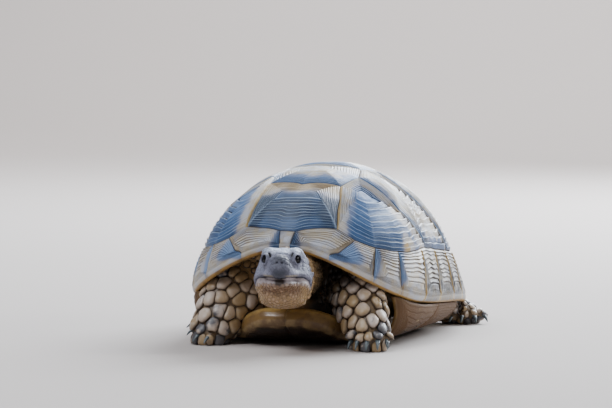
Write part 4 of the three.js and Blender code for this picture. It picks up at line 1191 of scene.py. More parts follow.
class SkinField:
    # the skin is a distance field on a grid that is finest round the head
    grids = (
        gridLine((-78, -11, 1.3), (-11, 23, 0.44), (23, 78, 1.3)),
        gridLine((-123, -84, 0.43), (-84, -38, 1.3), (-38, 42, 3.4), (42, 103, 1.3)),
        gridLine((-0.9, 22, 1.0), (22, 57, 0.48), (57, 66, 1.3), (66, 92, 3)),
    )

    def __init__(self):
        self.shape = tuple(len(g) for g in self.grids)
        self.d = np.full(self.shape, 12, np.float32)

    def window(self, low, high):
        cut = tuple(slice(*np.searchsorted(g, (a, b))) for g, a, b in zip(self.grids, low, high))
        x, y, z = (g[c].astype(np.float32) for g, c in zip(self.grids, cut))
        return cut, x[:, None, None], y[None, :, None], z[None, None, :]

    def join(self, cut, d, k):
        self.d[cut] = blendedMin(self.d[cut], d.astype(np.float32), k)

    def addLimb(self, limb):
        low = (limb.line[:, :3] - limb.line[:, 3:].max(1)[:, None]).min(0) - 4
        high = (limb.line[:, :3] + limb.line[:, 3:].max(1)[:, None]).max(0) + 4
        cut, x, y, z = self.window(low, high)
        d = limb.distance(x, y, z)
        if limb.name == "neck":  # loose skin lies in folds along it
            line = limb.line[np.argsort(limb.line[:, 1])]
            middleX, middleZ = (np.interp(y, line[:, 1], line[:, k]) for k in (0, 2))
            turn = np.arctan2(x - middleX, z - middleZ)
            folds = np.cos(17 * turn + 1.3 * np.sin(y * 0.21) + 0.7 * np.sin(z * 0.3))
            d = d - 0.5 * folds * smooth(-y, 56, 70)
        for root, _ in limb.claws:  # toes reach out to the claws
            start = mix(np.array(root, float), limb.line[-1, :3], 0.5)
            start[2] = max(start[2], 4.2)
            end = np.array(root, float) + (0, 0, 0.3)
            d = blendedMin(d, rod(x, y, z, start, end, 3.4, 2.7), 0.8)
        self.join(cut, d, 1.4)

    def addHead(self):
        cut, x, y, z = self.window((-14, -122, 20), (25, -80, 62))
        x, y, z = np.broadcast_arrays(x, y, z)
        local = bodyToHead(np.stack([x, y, z], -1)).astype(np.float32)
        d = headDistance(local[..., 0], local[..., 1], local[..., 2])
        # the neck joins softly behind the jaws only, so that the mouth and lids stay crisp
        back = smooth(local[..., 1], 2, 8)
        both = blendedMin(self.d[cut], d, 1.6)
        crisp = np.minimum(self.d[cut], d)
        self.d[cut] = mix(crisp, both, back)

    def addTrunk(self, room):
        # worked out on a coarse grid and spread to the fine one
        coarse = [np.linspace(g[0], g[-1], n) for g, n in zip(self.grids, (79, 113, 45))]
        x, y, z = np.meshgrid(*coarse, indexing="ij")
        depth, out, above = room.measure(x, y, z)
        side = np.abs(x) / np.maximum(np.hypot(x, y - dome["apexBack"]), 1)
        edge = (out - mix(0.66, 0.9, side)) * 50
        body = blendedMax(blendedMax(6.5 - depth, edge, 6), 9.5 - above, 5)
        slab = np.maximum(np.maximum(-depth - 0.8, depth - 4.4), (out - 1.01) * 60)  # the shell itself
        for name, values in (("trunk", body), ("slab", slab)):
            for axis, (fine, rough) in enumerate(zip(self.grids, coarse)):
                at = np.interp(fine, rough, np.arange(len(rough)))
                i = np.minimum(at.astype(int), len(rough) - 2)
                t = (at - i).astype(np.float32).reshape([-1 if k == axis else 1 for k in range(3)])
                values = mix(np.take(values, i, axis), np.take(values, i + 1, axis), t).astype(np.float32)
            if name == "trunk":
                self.d = blendedMin(self.d, values, 2.5)
            else:
                self.d = np.maximum(self.d, -values)

    def sample(self, points):
        # the distance and its slope at any points
        where, corners = [], []
        for k, g in enumerate(self.grids):
            at = np.interp(points[..., k], g, np.arange(len(g)))
            i = np.minimum(at.astype(int), len(g) - 2)
            where.append(at - i)
            corners.append((i, g[i + 1] - g[i]))
        (i, dx), (j, dy), (k, dz) = corners
        a, b, c = where
        v = {n: self.d[i + (n >> 2), j + (n >> 1 & 1), k + (n & 1)].astype(float) for n in range(8)}
        z00, z01, z10, z11 = (mix(v[2 * n], v[2 * n + 1], c) for n in range(4))
        y0, y1 = mix(z00, z01, b), mix(z10, z11, b)
        gx = (y1 - y0) / dx
        gy = mix(z01 - z00, z11 - z10, a) / dy
        low, high = mix(v[1] - v[0], v[3] - v[2], b), mix(v[5] - v[4], v[7] - v[6], b)
        return mix(y0, y1, a), np.stack([gx, gy, mix(low, high, a) / dz], -1)

    def onto(self, points, steps=3):
        # the nearest points of the skin, about, and its normals there
        for _ in range(steps):
            d, slope = self.sample(points)
            size = np.maximum(np.sum(slope * slope, -1), 0.1)
            points = points - slope * (np.clip(d, -1.5, 1.5) / size)[..., None]
        return points, unit(self.sample(points)[1])

    def untangle(self):
        # solid never meets solid across the diagonal of a grid face, where the net would pinch
        for one, two in ((0, 1), (1, 2), (0, 2)):
            cuts = []
            for p, q in ((0, 0), (1, 0), (0, 1), (1, 1)):
                cut = [slice(None)] * 3
                cut[one] = slice(p, self.shape[one] - 1 + p)
                cut[two] = slice(q, self.shape[two] - 1 + q)
                cuts.append(tuple(cut))
            a, b, c, d = (self.d[cut] < 0 for cut in cuts)
            crossed = (a == d) & (b == c) & (a != b)
            for cut in cuts:
                self.d[cut] = np.where(crossed, np.maximum(self.d[cut], 0.02), self.d[cut])

    def net(self):
        # one vertex in every cell that the surface crosses, one quad for every grid edge it crosses
        inside = self.d < 0
        corners = [np.array([n >> 2, n >> 1 & 1, n & 1]) for n in range(8)]
        count = np.zeros([n - 1 for n in self.shape], np.uint8)
        for corner in corners:
            count += inside[tuple(slice(k, k + m - 1) for k, m in zip(corner, self.shape))]
        cells = np.argwhere((count > 0) & (count < 8))
        number = np.full(count.shape, -1, np.int32)
        number[tuple(cells.T)] = np.arange(len(cells))
        value = [self.d[tuple((cells + corner).T)] for corner in corners]
        low = np.stack([g[cells[:, k]] for k, g in enumerate(self.grids)], -1)
        size = np.stack([g[cells[:, k] + 1] for k, g in enumerate(self.grids)], -1) - low
        total, hits = np.zeros((len(cells), 3)), np.zeros(len(cells))
        for n in range(8):
            for bit in (4, 2, 1):
                if n & bit:
                    continue
                a, b = value[n], value[n | bit]
                cross = (a < 0) != (b < 0)
                t = np.where(cross, a / np.where(cross, a - b, 1), 0)
                spot = corners[n] + t[:, None] * np.array([bit == 4, bit == 2, bit == 1], float)
                total += spot * cross[:, None]
                hits += cross
        points = low + size * total / hits[:, None]
        quads = []
        for axis in range(3):
            nxt, prev = (axis + 1) % 3, (axis + 2) % 3
            one = [slice(1, -1)] * 3
            one[axis] = slice(0, -1)
            two = list(one)
            two[axis] = slice(1, None)
            a, b = inside[tuple(one)], inside[tuple(two)]
            at = np.argwhere(a != b) + [0 if k == axis else 1 for k in range(3)]
            leaving = inside[tuple(at.T)]
            ring = []
            for p, q in ((0, 0), (1, 0), (1, 1), (0, 1)):
                cell = at.copy()
                cell[:, nxt] -= p
                cell[:, prev] -= q
                ring.append(number[tuple(cell.T)])
            quad = np.stack(ring, -1)
            quads.append(np.where(leaving[:, None], quad, quad[:, ::-1]))
        return points, np.concatenate(quads)


def trueSize(points, quads, field):
    # settles the net onto the surface and evens it out a little
    for _ in range(2):
        total = np.zeros_like(points)
        hits = np.zeros(len(points))
        for k in range(4):
            np.add.at(total, quads[:, k], points[quads[:, (k + 1) % 4]] + points[quads[:, k - 1]])
            np.add.at(hits, quads[:, k], 2)
        points = mix(points, total / hits[:, None], 0.5)
        points, _ = field.onto(points, 1)
    return points


def oneSheet(points, quads):
    # drops walls of no thickness and crumbs that hang on nothing
    key = np.sort(quads, 1)
    _, back, times = np.unique(key, axis=0, return_inverse=True, return_counts=True)
    quads = quads[times[back.ravel()] == 1]
    label = np.arange(len(points))
    while True:
        low = label[quads].min(1)
        new = label.copy()
        np.minimum.at(new, quads.ravel(), np.repeat(low, 4))
        new = new[new]
        if np.array_equal(new, label):
            break
        label = new
    names, sizes = np.unique(label[quads[:, 0]], return_counts=True)
    quads = quads[label[quads[:, 0]] == names[np.argmax(sizes)]]
    used, quads = np.unique(quads, return_inverse=True)
    return points[used], quads.reshape(-1, 4)


field = SkinField()
for limb in limbs.values():
    field.addLimb(limb)
field.addTrunk(ShellRoom())
field.addHead()
floorCut, _, _, floorZ = field.window((-200, -200, -5), (200, 200, 6))
field.d[floorCut] = np.maximum(field.d[floorCut], 0.15 - floorZ)  # the soles are flat on the floor
for _ in range(4):
    field.untangle()
skinPoints, skinQuads = oneSheet(*field.net())
skinPoints = trueSize(skinPoints, skinQuads, field)
print("the skin has", len(skinQuads), "faces")


def regions(points):
    # the nearest limb, the share of the way along it, the ways down and across it, and its middle there
    names = list(limbs)
    nearest = np.full(len(points), np.inf)
    which = np.zeros(len(points), int)
    share = np.zeros(len(points))
    for k, name in enumerate(names):
        d, t = limbs[name].distance(points[:, 0], points[:, 1], points[:, 2], where=True)
        closer = d < nearest
        nearest = np.where(closer, d, nearest)
        which = np.where(closer, k, which)
        share = np.where(closer, t, share)
    down, across, middle = (np.zeros_like(points) for _ in range(3))
    for k, name in enumerate(names):
        own = which == k
        down[own], across[own], middle[own] = limbs[name].axis(share[own])
    head = bodyToHead(points)
    onHead = (head[:, 1] < 9) & (np.abs(head[:, 0]) < 18) & (head[:, 1] > -30) & (np.abs(head[:, 2] + 5) < 19)
    ways = dict(down=down, across=across, middle=middle)
    return dict(which=which, share=share, near=nearest, head=head, onHead=onHead, **ways)


limbIndex = {name: k for k, name in enumerate(limbs)}


def unwrapped(points, at):
    # a place on a flat layout of the skin: each limb is a strip, round by along; the head has one too
    away = points - at["middle"]
    up = np.cross(at["down"], at["across"])
    turn = np.arctan2(np.sum(away * up, -1), np.sum(away * at["across"], -1)) / (2 * math.pi) + 0.5
    u = (at["which"] % 4 + 0.02 + 0.96 * turn) / 4
    v = (at["which"] // 4 + 0.02 + 0.9 * np.clip(at["share"], 0, 1)) / 2
    h = at["head"]
    headTurn = np.arctan2(h[:, 0], h[:, 2] + 4) / (2 * math.pi) + 0.5
    headAlong = np.clip((h[:, 1] + 24) / 34, 0, 1)
    u = np.where(at["onHead"], 0.5 + 0.49 * headTurn, u)
    v = np.where(at["onHead"], 0.505 + 0.49 * headAlong, v)
    return np.stack([u, v], -1)


def rodFar(h, a, b):
    # how far places in the head's frame lie from a line or from its mirror image
    return rod(np.abs(h[:, 0]), h[:, 1], h[:, 2], a, b, 0, 0)


def bearing(points, at):
    # what the colours need to know at a point: most are 0 to 1, and the head's dark and pale marks, partly
    # painted light and shade, run from -1 (pale) to 1 (dark)
    h = at["head"]
    x, y, z = h.T
    ax = np.abs(x)
    onHead = at["onHead"].astype(float)
    above = z - mouthLine(x, y)
    upperHead = smooth(above, -0.6, 0.2) * onHead
    jaw = onHead * (1 - smooth(above, -0.3, 0.1)) * (1 - smooth(-above, 2.7, 4.6)) * (1 - smooth(y, -3, 3))
    # the snout is dark, partly its own mark and partly painted shade; the crown is painted pale blue as top
    # light and sky reflection; the lids are pale
    arch = z - 4.6 + 0.09 * ax * ax
    snout = (1 - smooth(arch, -0.3, 0.4)) * (0.42 + 0.4 * smooth(z, -1.5, 2.5)) * np.exp(-((ax / 5.8) ** 4))
    snout = snout * (1 - smooth(y, -12, -9))
    beak = 0.5 * np.exp(-(((above - 2.4) / 2.6) ** 2) - (ax / 4.4) ** 4) * (1 - smooth(y, -9, -4))
    crown = smooth(z, 4.4, 7.5)
    brow = np.exp(-(((ax - 5.6) / 1.0) ** 2) - ((z - 5.4) / 2.0) ** 2) * (1 - smooth(y, -8, -4))
    # skin deep in the shell's openings is painted nearly black: painted shade in the recesses
    recessShade = smooth(points[:, 1], -74, -60) * smooth(-np.abs(points[:, 0] - 20), -19, -11)
    recessShade = recessShade * smooth(points[:, 2], 8, 14)
    fold = np.min([rodFar(h, a, b) - width for a, b, width in headShape["folds"][:3]], 0)
    return dict(
        foldEdge=(1 - smooth(fold, 0.1, 0.9)) * onHead,
        slate=upperHead * (1 - smooth(y, 4, 10)),
        jaw=jaw,
        throat=np.clip(onHead - upperHead - jaw, 0, 1) + (1 - onHead) * (at["which"] == limbIndex["neck"]),
        soft=(1 - onHead) * np.where(at["which"] < 2, 1 - smooth(at["share"], 0.2, 0.42), 0),
        golden=np.maximum(1 - onHead, smooth(-z, 13, 17) * 0.7) + 0.8 * onHead * smooth(ax, 8.5, 11.5),
        headMarksAndLight=np.clip(snout + beak + 1.5 * brow - crown, -1, 1) * onHead,
        lipLine=bell(above, 0.7, 0.4) * onHead * (1 - smooth(ax, 7.5, 9.5)) * smooth(ax, 2.5, 4.5),
        chinSpot=np.exp(-((x / 2.6) ** 4) - ((above + 2.2) / 1.9) ** 4) * onHead * (y < -6),
        recessShade=recessShade,
        foot=np.where(at["which"] < 4, smooth(at["share"], 0.66, 0.95), 0) * (1 - onHead),
    )


scaleSizes = dict(
    shield=6.3, wrist=5.8, foot=4.4, inner=2.6, hind=3.2, heel=4.2, tail=2.6, neck=1.7, throat=1.9,
    crown=4.1, cheek=2.5, temple=3.2, chin=1.7, lid=0.95,
)


def scaleSize(points, normals, at):
    # the width of the scales that grow at each point; 0 where none do
    k = scaleSizes
    size = np.zeros(len(points))
    which, share, h = at["which"], at["share"], at["head"]
    for name, side in (("foreleg_left", 1), ("foreleg_right", -1)):
        own = (which == limbIndex[name]) & (at["near"] < 4)
        face = normals @ unit(np.array([0.55 * side, -0.85, 0.25]))
        big = mix(k["shield"], k["wrist"], smooth(share, 0.55, 0.8))
        big = mix(big, k["foot"], smooth(share, 0.8, 0.92))
        big = mix(k["inner"], big, smooth(share, 0.18, 0.42))
        small = mix(k["inner"], k["foot"] * 0.85, smooth(share, 0.75, 0.95))
        value = np.where(face > 0.05, big, np.where(face > -0.25, mix(small, big, 0.45), small))
        size = np.where(own & (share > 0.1), value, size)
    for name in ("hindleg_left", "hindleg_right"):
        own = (which == limbIndex[name]) & (at["near"] < 4)
        size = np.where(own & (share > 0.22), mix(k["hind"], k["heel"], smooth(share, 0.6, 0.9)), size)
    own = (which == limbIndex["tail"]) & (share > 0.3) & (at["near"] < 3)
    size = np.where(own, k["tail"] * mix(1, 0.6, share), size)
    own = (which == limbIndex["neck"]) & (share > 0.2) & (at["near"] < 4)
    size = np.where(own, k["neck"], size)
    above = h[:, 2] - mouthLine(h[:, 0], h[:, 1])
    eyeAway = np.linalg.norm(np.abs(h * (1, 0, 0)) + h * (0, 1, 1) - eyeSpec["centre"], axis=-1)
    crown = smooth(h[:, 2], 3.5, 6.5)
    value = mix(k["cheek"], k["crown"], crown)
    value = np.where((h[:, 1] > -2) & (h[:, 2] > -4), np.maximum(value, k["temple"]), value)
    value = np.where(above < 0, k["chin"], value)
    value = np.where(h[:, 2] < -14.5, k["throat"], value)
    value = np.where(eyeAway < 6.6, 1.35, value)
    value = np.where(eyeAway < 5.2, k["lid"], value)
    beak = (above > -3.6) & (above < mix(5.2, 2.0, smooth(h[:, 1], -13, -5))) & (h[:, 1] < -1)
    nose = (h[:, 1] < -18) & (np.abs(h[:, 0]) < 3.4) & (h[:, 2] > -2.5) & (h[:, 2] < 3)
    value = np.where(beak | nose | (eyeAway < 4.75), 0, value)
    onFold = np.min([rodFar(h, a, b) for a, b, _ in headShape["folds"][:3]], 0) < 1.7
    return np.where(at["onHead"], np.where(onFold, 0, value), size)


shieldWays = dict(foreleg_left=(0.387, -0.548, -0.742), foreleg_right=(-0.38, -0.40, -0.83))


def spaced(points, which):
    # distances down the front legs count for less, so that the shields there grow long
    out = points.copy()
    for name, way in shieldWays.items():
        own = which == limbIndex[name]
        out[own] -= 0.3 * (points[own] @ np.array(way))[:, None] * np.array(way)
    return out


def treeOf(points):
    tree = KDTree(len(points))
    for i, p in enumerate(points):
        tree.insert(p, i)
    tree.balance()
    return tree


def throwSeeds(points, sizes, rng):
    # the widest scales take their places first, then the others fill what is left
    tree = treeOf(points)
    free = sizes > 0
    order = np.lexsort((rng.random(len(points)), -np.round(sizes * 1.5)))
    seeds = []
    for i in order:
        if free[i]:
            seeds.append(i)
            free[[j for _, j, _ in tree.find_range(points[i], sizes[i] * 0.86)]] = False
    return np.array(seeds)


def evenOut(seeds, points, sizes, which, limit):
    # the widest ones shuffle apart until they are evenly spread
    centres = points[seeds].copy()
    wide = sizes[seeds] > limit
    pool = points[sizes > limit]
    flatPool = spaced(pool, which[sizes > limit])
    for _ in range(4):
        own = centres[wide]
        flatOwn = spaced(own, which[seeds][wide])
        nearest = np.empty(len(pool), int)
        for a in range(0, len(pool), 4000):
            gap = flatPool[a : a + 4000, None] - flatOwn[None]
            nearest[a : a + 4000] = np.argmin(np.sum(gap * gap, -1), 1)
        total = np.stack([np.bincount(nearest, pool[:, k], len(own)) for k in range(3)], -1)
        hits = np.bincount(nearest, minlength=len(own))
        centres[wide] = np.where(hits[:, None] > 0, total / np.maximum(hits, 1)[:, None], own)
    return field.onto(centres, 4)[0]


def outlines(centres, normals, lies, sizes, around, gap, sharp):
    # how far each scale reaches in every direction before it meets its neighbours
    tree = treeOf(centres)
    near = np.array([[j for _, j, _ in tree.find_n(p, 15)][1:] for p in centres])
    across = np.cross(normals, lies)
    away = centres[near] - centres[:, None]
    facing = np.sum(normals[near] * normals[:, None], -1)
    a, b = np.sum(away * lies[:, None], -1), np.sum(away * across[:, None], -1)
    flat = np.hypot(a, b) + 1e-6
    ownShare = sizes[:, None] / (sizes[:, None] + sizes[near])
    reach = np.linalg.norm(away, axis=-1) * ownShare - gap[:, None] / 2
    reach = np.maximum(reach, 0.15 * sizes[:, None])
    turn = np.arange(around) * 2 * math.pi / around
    cosine = (a[..., None] * np.cos(turn) + b[..., None] * np.sin(turn)) / flat[..., None]
    pull = np.maximum(cosine, 0) / reach[..., None] * (facing > 0.1)[..., None]
    total = np.sum(pull ** sharp, 1) + (1 / (0.8 * sizes[:, None])) ** sharp
    return turn, total ** (-1 / sharp), across


def growScales(name, centres, normals, lies, reach, across, turn, look, seed):
    # one closed cushion per scale, seated on the skin
    rng = np.random.default_rng(seed)
    count, around = reach.shape
    shares = np.array(look["rings"])
    rise = np.array(look["profile"])
    tall = look["height"] * rng.uniform(0.85, 1.15, count)
    size = reach.mean(1) * 2
    tall = tall * np.minimum(size / look["width"], 1.3)
    # the tips lie over the next scales
    reach = reach * (1 + look["overlap"] * np.maximum(np.cos(turn), 0) ** 2)
    x = reach[:, None] * shares[:, None] * np.cos(turn)
    y = reach[:, None] * shares[:, None] * np.sin(turn)
    flat = centres[:, None, None] + x[..., None] * lies[:, None, None]
    flat = flat + y[..., None] * across[:, None, None]
    base, local = field.onto(flat, 3)
    outward = unit(mix(normals[:, None, None], local, 0.5))
    forward = x / (size[:, None, None] / 2)  # -1 at the root, 1 at the tip
    h = tall[:, None, None] * (rise[:, None] * (1 + look["tilt"] * forward))
    step = 0.6 + 0.6 * np.maximum(forward, 0)
    h = h + look["edge"] * tall[:, None, None] * step * (shares >= 1)[:, None]
    h = h + look["ringed"] * (np.cos(shares * 21) * (shares < 0.95) * (shares > 0.2))[:, None]
    top = base + outward * h[..., None]
    apex, apexNormal = field.onto(centres, 2)
    apex = apex + apexNormal * tall[:, None]
    skirt = base[:, -1] - outward[:, -1] * look["sink"]
    points = np.concatenate([apex[:, None], top.reshape(count, -1, 3), skirt], 1)
    soft = 0.4  # what would reach lower than this is squashed flat by the floor
    z = points[..., 2]
    points[..., 2] = np.where(z < soft, soft * np.exp(np.minimum(z / soft - 1, 0)), z)
    each = points.shape[1]
    rows = len(shares) + 1
    quads, caps = tubeInsideOut(rows, around)
    bottom = np.arange(each - around, each)[::-1][None]
    offset = (np.arange(count) * each)[:, None, None]
    faces = [(f + offset).reshape(-1, f.shape[1]) for f in (caps[:around], quads, bottom)]
    at = regions(centres)
    data = {k: np.repeat(v, each) for k, v in bearing(centres, at).items()}
    data["crest"] = np.tile(np.concatenate([[1], np.repeat(rise, around), np.full(around, -0.3)]), count)
    data["tone"] = np.repeat(rng.random(count), each)
    mesh = buildMesh(name, points.reshape(-1, 3), faces, data)
    # each scale has its own small patch, at its root's place on the layout
    patch = max(0.003, look["width"] / 330)
    place = unwrapped(centres, at)
    turnAll = np.concatenate([[0], np.tile(turn, rows)])
    radius = np.concatenate([[0], np.repeat(np.append(shares * 0.8, 1), around)]) / 2
    spot = np.stack([radius * np.cos(turnAll), radius * np.sin(turnAll)], -1) * patch
    uv = (place[:, None] + spot[None]).reshape(-1, 2)
    layer = mesh.uv_layers.new(name="OFBake")
    corner = np.empty(len(mesh.loops), np.int32)
    mesh.loops.foreach_get("vertex_index", corner)
    layer.data.foreach_set("uv", uv[corner].astype(np.float32).ravel())
    return mesh


# rings: shares of a scale's reach, and profile: its height there; ringed: its fine growth rings
# around: corners of its outline; gap: the share of its width left free; sharp: how square it is
shieldLook = dict(
    rings=(0.3, 0.56, 0.77, 0.9, 0.97, 1.0), profile=(0.96, 0.9, 0.79, 0.62, 0.38, 0.0),
    height=1.7, width=6, tilt=0.5, edge=0.38, sink=0.8, ringed=0.025, overlap=0.16,
    around=24, gap=0.01, sharp=8,
)
legLook = dict(
    rings=(0.5, 0.84, 1.0), profile=(0.86, 0.5, 0.0),
    height=0.6, width=2.4, tilt=0.35, edge=0.3, sink=0.35, ringed=0, overlap=0.12,
    around=12, gap=0.03, sharp=8,
)
hindLook = dict(legLook, around=10, gap=0.06, sharp=7)
granuleLook = dict(
    legLook, height=0.3, width=1.6, tilt=0.1, edge=0.15, overlap=0, around=8, gap=0.08, sharp=6,
)
headLook = dict(
    rings=(0.6, 0.88, 1.0), profile=(0.95, 0.66, 0.0),
    height=0.15, width=2.4, tilt=0.0, edge=0.1, sink=0.3, ringed=0, overlap=0,
    around=10, gap=0.05, sharp=9,
)
shieldFrom = 4.2  # scales wider than this are shields

rng = np.random.default_rng(5)
pool, poolNormals = field.onto(skinPoints + rng.normal(0, 0.16, skinPoints.shape), 2)
place = regions(pool)
depth, out, _ = ShellRoom().measure(pool[:, 0], pool[:, 1], pool[:, 2])
hidden = (depth > 4.5) & (out < 0.55)  # far inside the shell
onFloor = pool[:, 2] < 0.25
poolSizes = np.where(hidden | onFloor, 0, scaleSize(pool, poolNormals, place))
seeds = throwSeeds(spaced(pool, place["which"]), poolSizes, rng)
seedSizes = poolSizes[seeds]
centres = evenOut(seeds, pool, poolSizes, place["which"], shieldFrom)
centres, normals = field.onto(centres, 2)
at = regions(centres)
lies = at["down"].copy()
headBack = headToBody(np.array([[0, 1.0, 0]]))[0] - headToBody(np.zeros((1, 3)))[0]
lies[at["onHead"]] = headBack
lies = unit(lies - np.sum(lies * normals, -1, keepdims=True) * normals)
print(len(seeds), "scales have their places,", int(np.sum(seedSizes > shieldFrom)), "of them wide")


def coatPiece(name, chosen, look, seed):
    gap = np.maximum(0.12, seedSizes * look["gap"])  # at least 0.12 mm
    turn, reach, across = outlines(centres, normals, lies, seedSizes, look["around"], gap, look["sharp"])
    grown = (values[chosen] for values in (centres, normals, lies, reach, across))
    addPiece(name, growScales(name, *grown, turn, look, seed), scaleMaterial)
    print(name, int(chosen.sum()), "scales")


skinLook = dict(
    tan=(0.44, 0.31, 0.165), olive=(0.27, 0.18, 0.088), umber=(0.05, 0.028, 0.012),
    ink=(0.012, 0.020, 0.036), paleToneAndSheen=(0.66, 0.61, 0.62), gold=(0.56, 0.36, 0.16),
    slate=(0.16, 0.165, 0.23), slatePale=(0.40, 0.41, 0.53), slateDark=(0.018, 0.021, 0.034),
    crown=(0.46, 0.52, 0.66), jaw=(0.46, 0.40, 0.42), jawDark=(0.035, 0.022, 0.018), lip=(0.40, 0.33, 0.20),
    throat=(0.15, 0.052, 0.020), throatPale=(0.58, 0.38, 0.25), foldPale=(0.62, 0.48, 0.33),
    black=(0.004, 0.003, 0.002),
)


def skinFinish(name, coat):
    # one look for the skin and, with a coat, for the scales on it
    f = Finish(name, Coat_Roughness=0.3, IOR=1.45)
    k = skinLook
    slate, jaw, throat = (f.field(n) for n in ("slate", "jaw", "throat"))
    foot, headMarksAndLight, golden = (f.field(n) for n in ("foot", "headMarksAndLight", "golden"))
    crest = f.field("crest") if coat else None
    tone = f.field("tone") if coat else None
    mottle = f.noise(420, 4)
    blotch = f.noise(130, 3, 0.6, 0.5)
    fine = f.noise(1700, 3, 0.6)
    # gold: the skin's golden tone, made lighter as painted bounce light on the neck and the upper legs
    gold = f.blend((mottle * 1.2 + fine * 0.4 - 0.5).clamp(), k["gold"], k["olive"])
    if coat:
        limb = f.blend((tone * 0.6 + mottle * 0.7 - 0.15).clamp(), k["olive"], k["tan"])
        # some scales turn pale lilac-grey: partly their own pale tone, partly painted sheen
        limb = f.blend((tone * 0.9 + blotch * 1.2 - 0.82).clamp() * 0.85, limb, k["paleToneAndSheen"])
        limb = f.blend(f.field("soft") * 0.8, limb, gold)
        limb = f.blend(crest.ramp(0.12, 0.86), k["umber"], limb)
        inky = (blotch * 0.6 + tone * 0.5 + foot * 0.12).ramp(0.72, 0.82)
        limb = f.blend(inky * 0.85, limb, k["ink"])
    else:
        limb = f.blend(mottle * 0.7, k["umber"], k["olive"])
        limb = f.blend(f.field("soft") * 0.8, limb, gold)
    # the throat: red-brown with some pale grains, golden lower down, at the sides and on the neck
    warm = f.blend((mottle * 0.9 + fine * 0.5 - 0.3).clamp(), k["throat"], k["olive"])
    warm = f.blend((golden * (blotch * 0.6 + 0.6)).clamp(), warm, gold)
    if coat:
        warm = f.blend((tone * 1.3 + crest * 0.3 + blotch * 1.3 - 1.5).clamp(), warm, k["throatPale"])
        warm = f.blend((1 - crest).clamp() * 0.8, warm, k["umber"])
    warm = f.blend((f.field("foldEdge") * (mottle * 0.7 + 0.5)).clamp(), warm, k["foldPale"])
    colour = f.blend(throat, limb, warm)
    pale = f.blend((mottle * 0.9 + blotch * 1.1 - 0.75).clamp(), k["jaw"], k["jawDark"])
    pale = f.blend((f.field("chinSpot") * 1.3).clamp(), pale, k["jawDark"])
    colour = f.blend(jaw, colour, pale)
    # the head: slate with a crown painted pale as top light and sky reflection and a dark snout, partly its
    # own mark and partly painted shade, finely wrinkled and veined
    veins = f.cells(620).ramp(0.0, 0.11)
    stone = f.blend((mottle * 1.5 + fine * 0.7 - 0.8).clamp(), k["slate"], k["slatePale"])
    stone = f.blend((0 - headMarksAndLight).clamp() * 0.85, stone, k["crown"])
    stone = f.blend((headMarksAndLight * (mottle * 0.4 + 0.75)).clamp(), stone, k["slateDark"])
    stone = f.blend((blotch * 2.2 - 1.0).clamp() * 0.5, stone, k["slateDark"])
    stone = f.blend((1 - veins) * 0.4, stone, k["slateDark"])
    stone = f.blend((f.field("lipLine") * 0.7).clamp(), stone, k["lip"])
    if coat:
        stone = f.blend((1 - crest).clamp() * 0.4, stone, k["slateDark"])
    colour = f.blend(slate, colour, stone)
    # painted shade: skin in the recesses turns nearly black
    colour = f.blend(f.field("recessShade") * 0.93, colour, k["black"])
    f.set("Base Color", colour)
    f.set("Roughness", 0.36 + mottle * 0.22 + slate * 0.1)
    f.set("Coat Weight", 0.35 - slate * 0.3)
    f.bump(fine * 0.5 + f.noise(5200, 2) * 0.3 + veins * slate * 0.6, 0.00025, 0.6)
    return f.material


skinMaterial = skinFinish("skin", False)
scaleMaterial = skinFinish("scales", True)
skinAt = regions(skinPoints)
skinMesh = buildMesh("skin", skinPoints, skinQuads, bearing(skinPoints, skinAt))
flesh = ("trunk", "foreleg_left", "foreleg_right", "hindleg_left", "hindleg_right")
flesh += ("head", "lower_jaw", "neck", "tail")
addPiece("skin", skinMesh, skinMaterial, flesh)
print("the skin is made")

wide = seedSizes > shieldFrom
left = centres[:, 0] > 0
fore = at["which"] < 2
onHead = at["onHead"]
small = ~wide & ~onHead
for sideName, side in (("left", left), ("right", ~left)):
    coatPiece("shields_" + sideName, wide & side, shieldLook, 31)
    coatPiece("legScales_" + sideName, small & fore & side, legLook, 32)
    coatPiece("hindScales_" + sideName, small & ~fore & (at["which"] < 4) & side, hindLook, 33)
coatPiece("tailScales", small & (at["which"] == limbIndex["tail"]), hindLook, 34)
coatPiece("neckGranules", small & (at["which"] == limbIndex["neck"]), granuleLook, 35)
upperHead = at["head"][:, 2] > mouthLine(at["head"][:, 0], at["head"][:, 1])
coatPiece("headScales", onHead & upperHead, headLook, 36)
coatPiece("throatGranules", onHead & ~upperHead & ~wide, granuleLook, 37)


clawLook = dict(
    width=1.6, depth=1.3, arch=0.16, rings=12, around=14,
    horn=(0.02, 0.032, 0.045), worn=(0.13, 0.165, 0.17), root=(0.10, 0.075, 0.05),
)


def clawFinish():
    f = Finish("claw", Roughness=0.38, Coat_Weight=0.3, Coat_Roughness=0.25)
    along = f.field("along")
    streaks = f.noise(900, 3, 0.6, 0.3)
    colour = f.blend((streaks * 1.3 - 0.3).clamp(), clawLook["horn"], clawLook["worn"])
    colour = f.blend((1 - along * 4).clamp(), colour, clawLook["root"])
    colour = f.blend(along.ramp(0.65, 1) * 0.6, colour, clawLook["worn"])
    f.set("Base Color", colour)
    f.bump(streaks, 0.0002, 0.4)
    return f.material


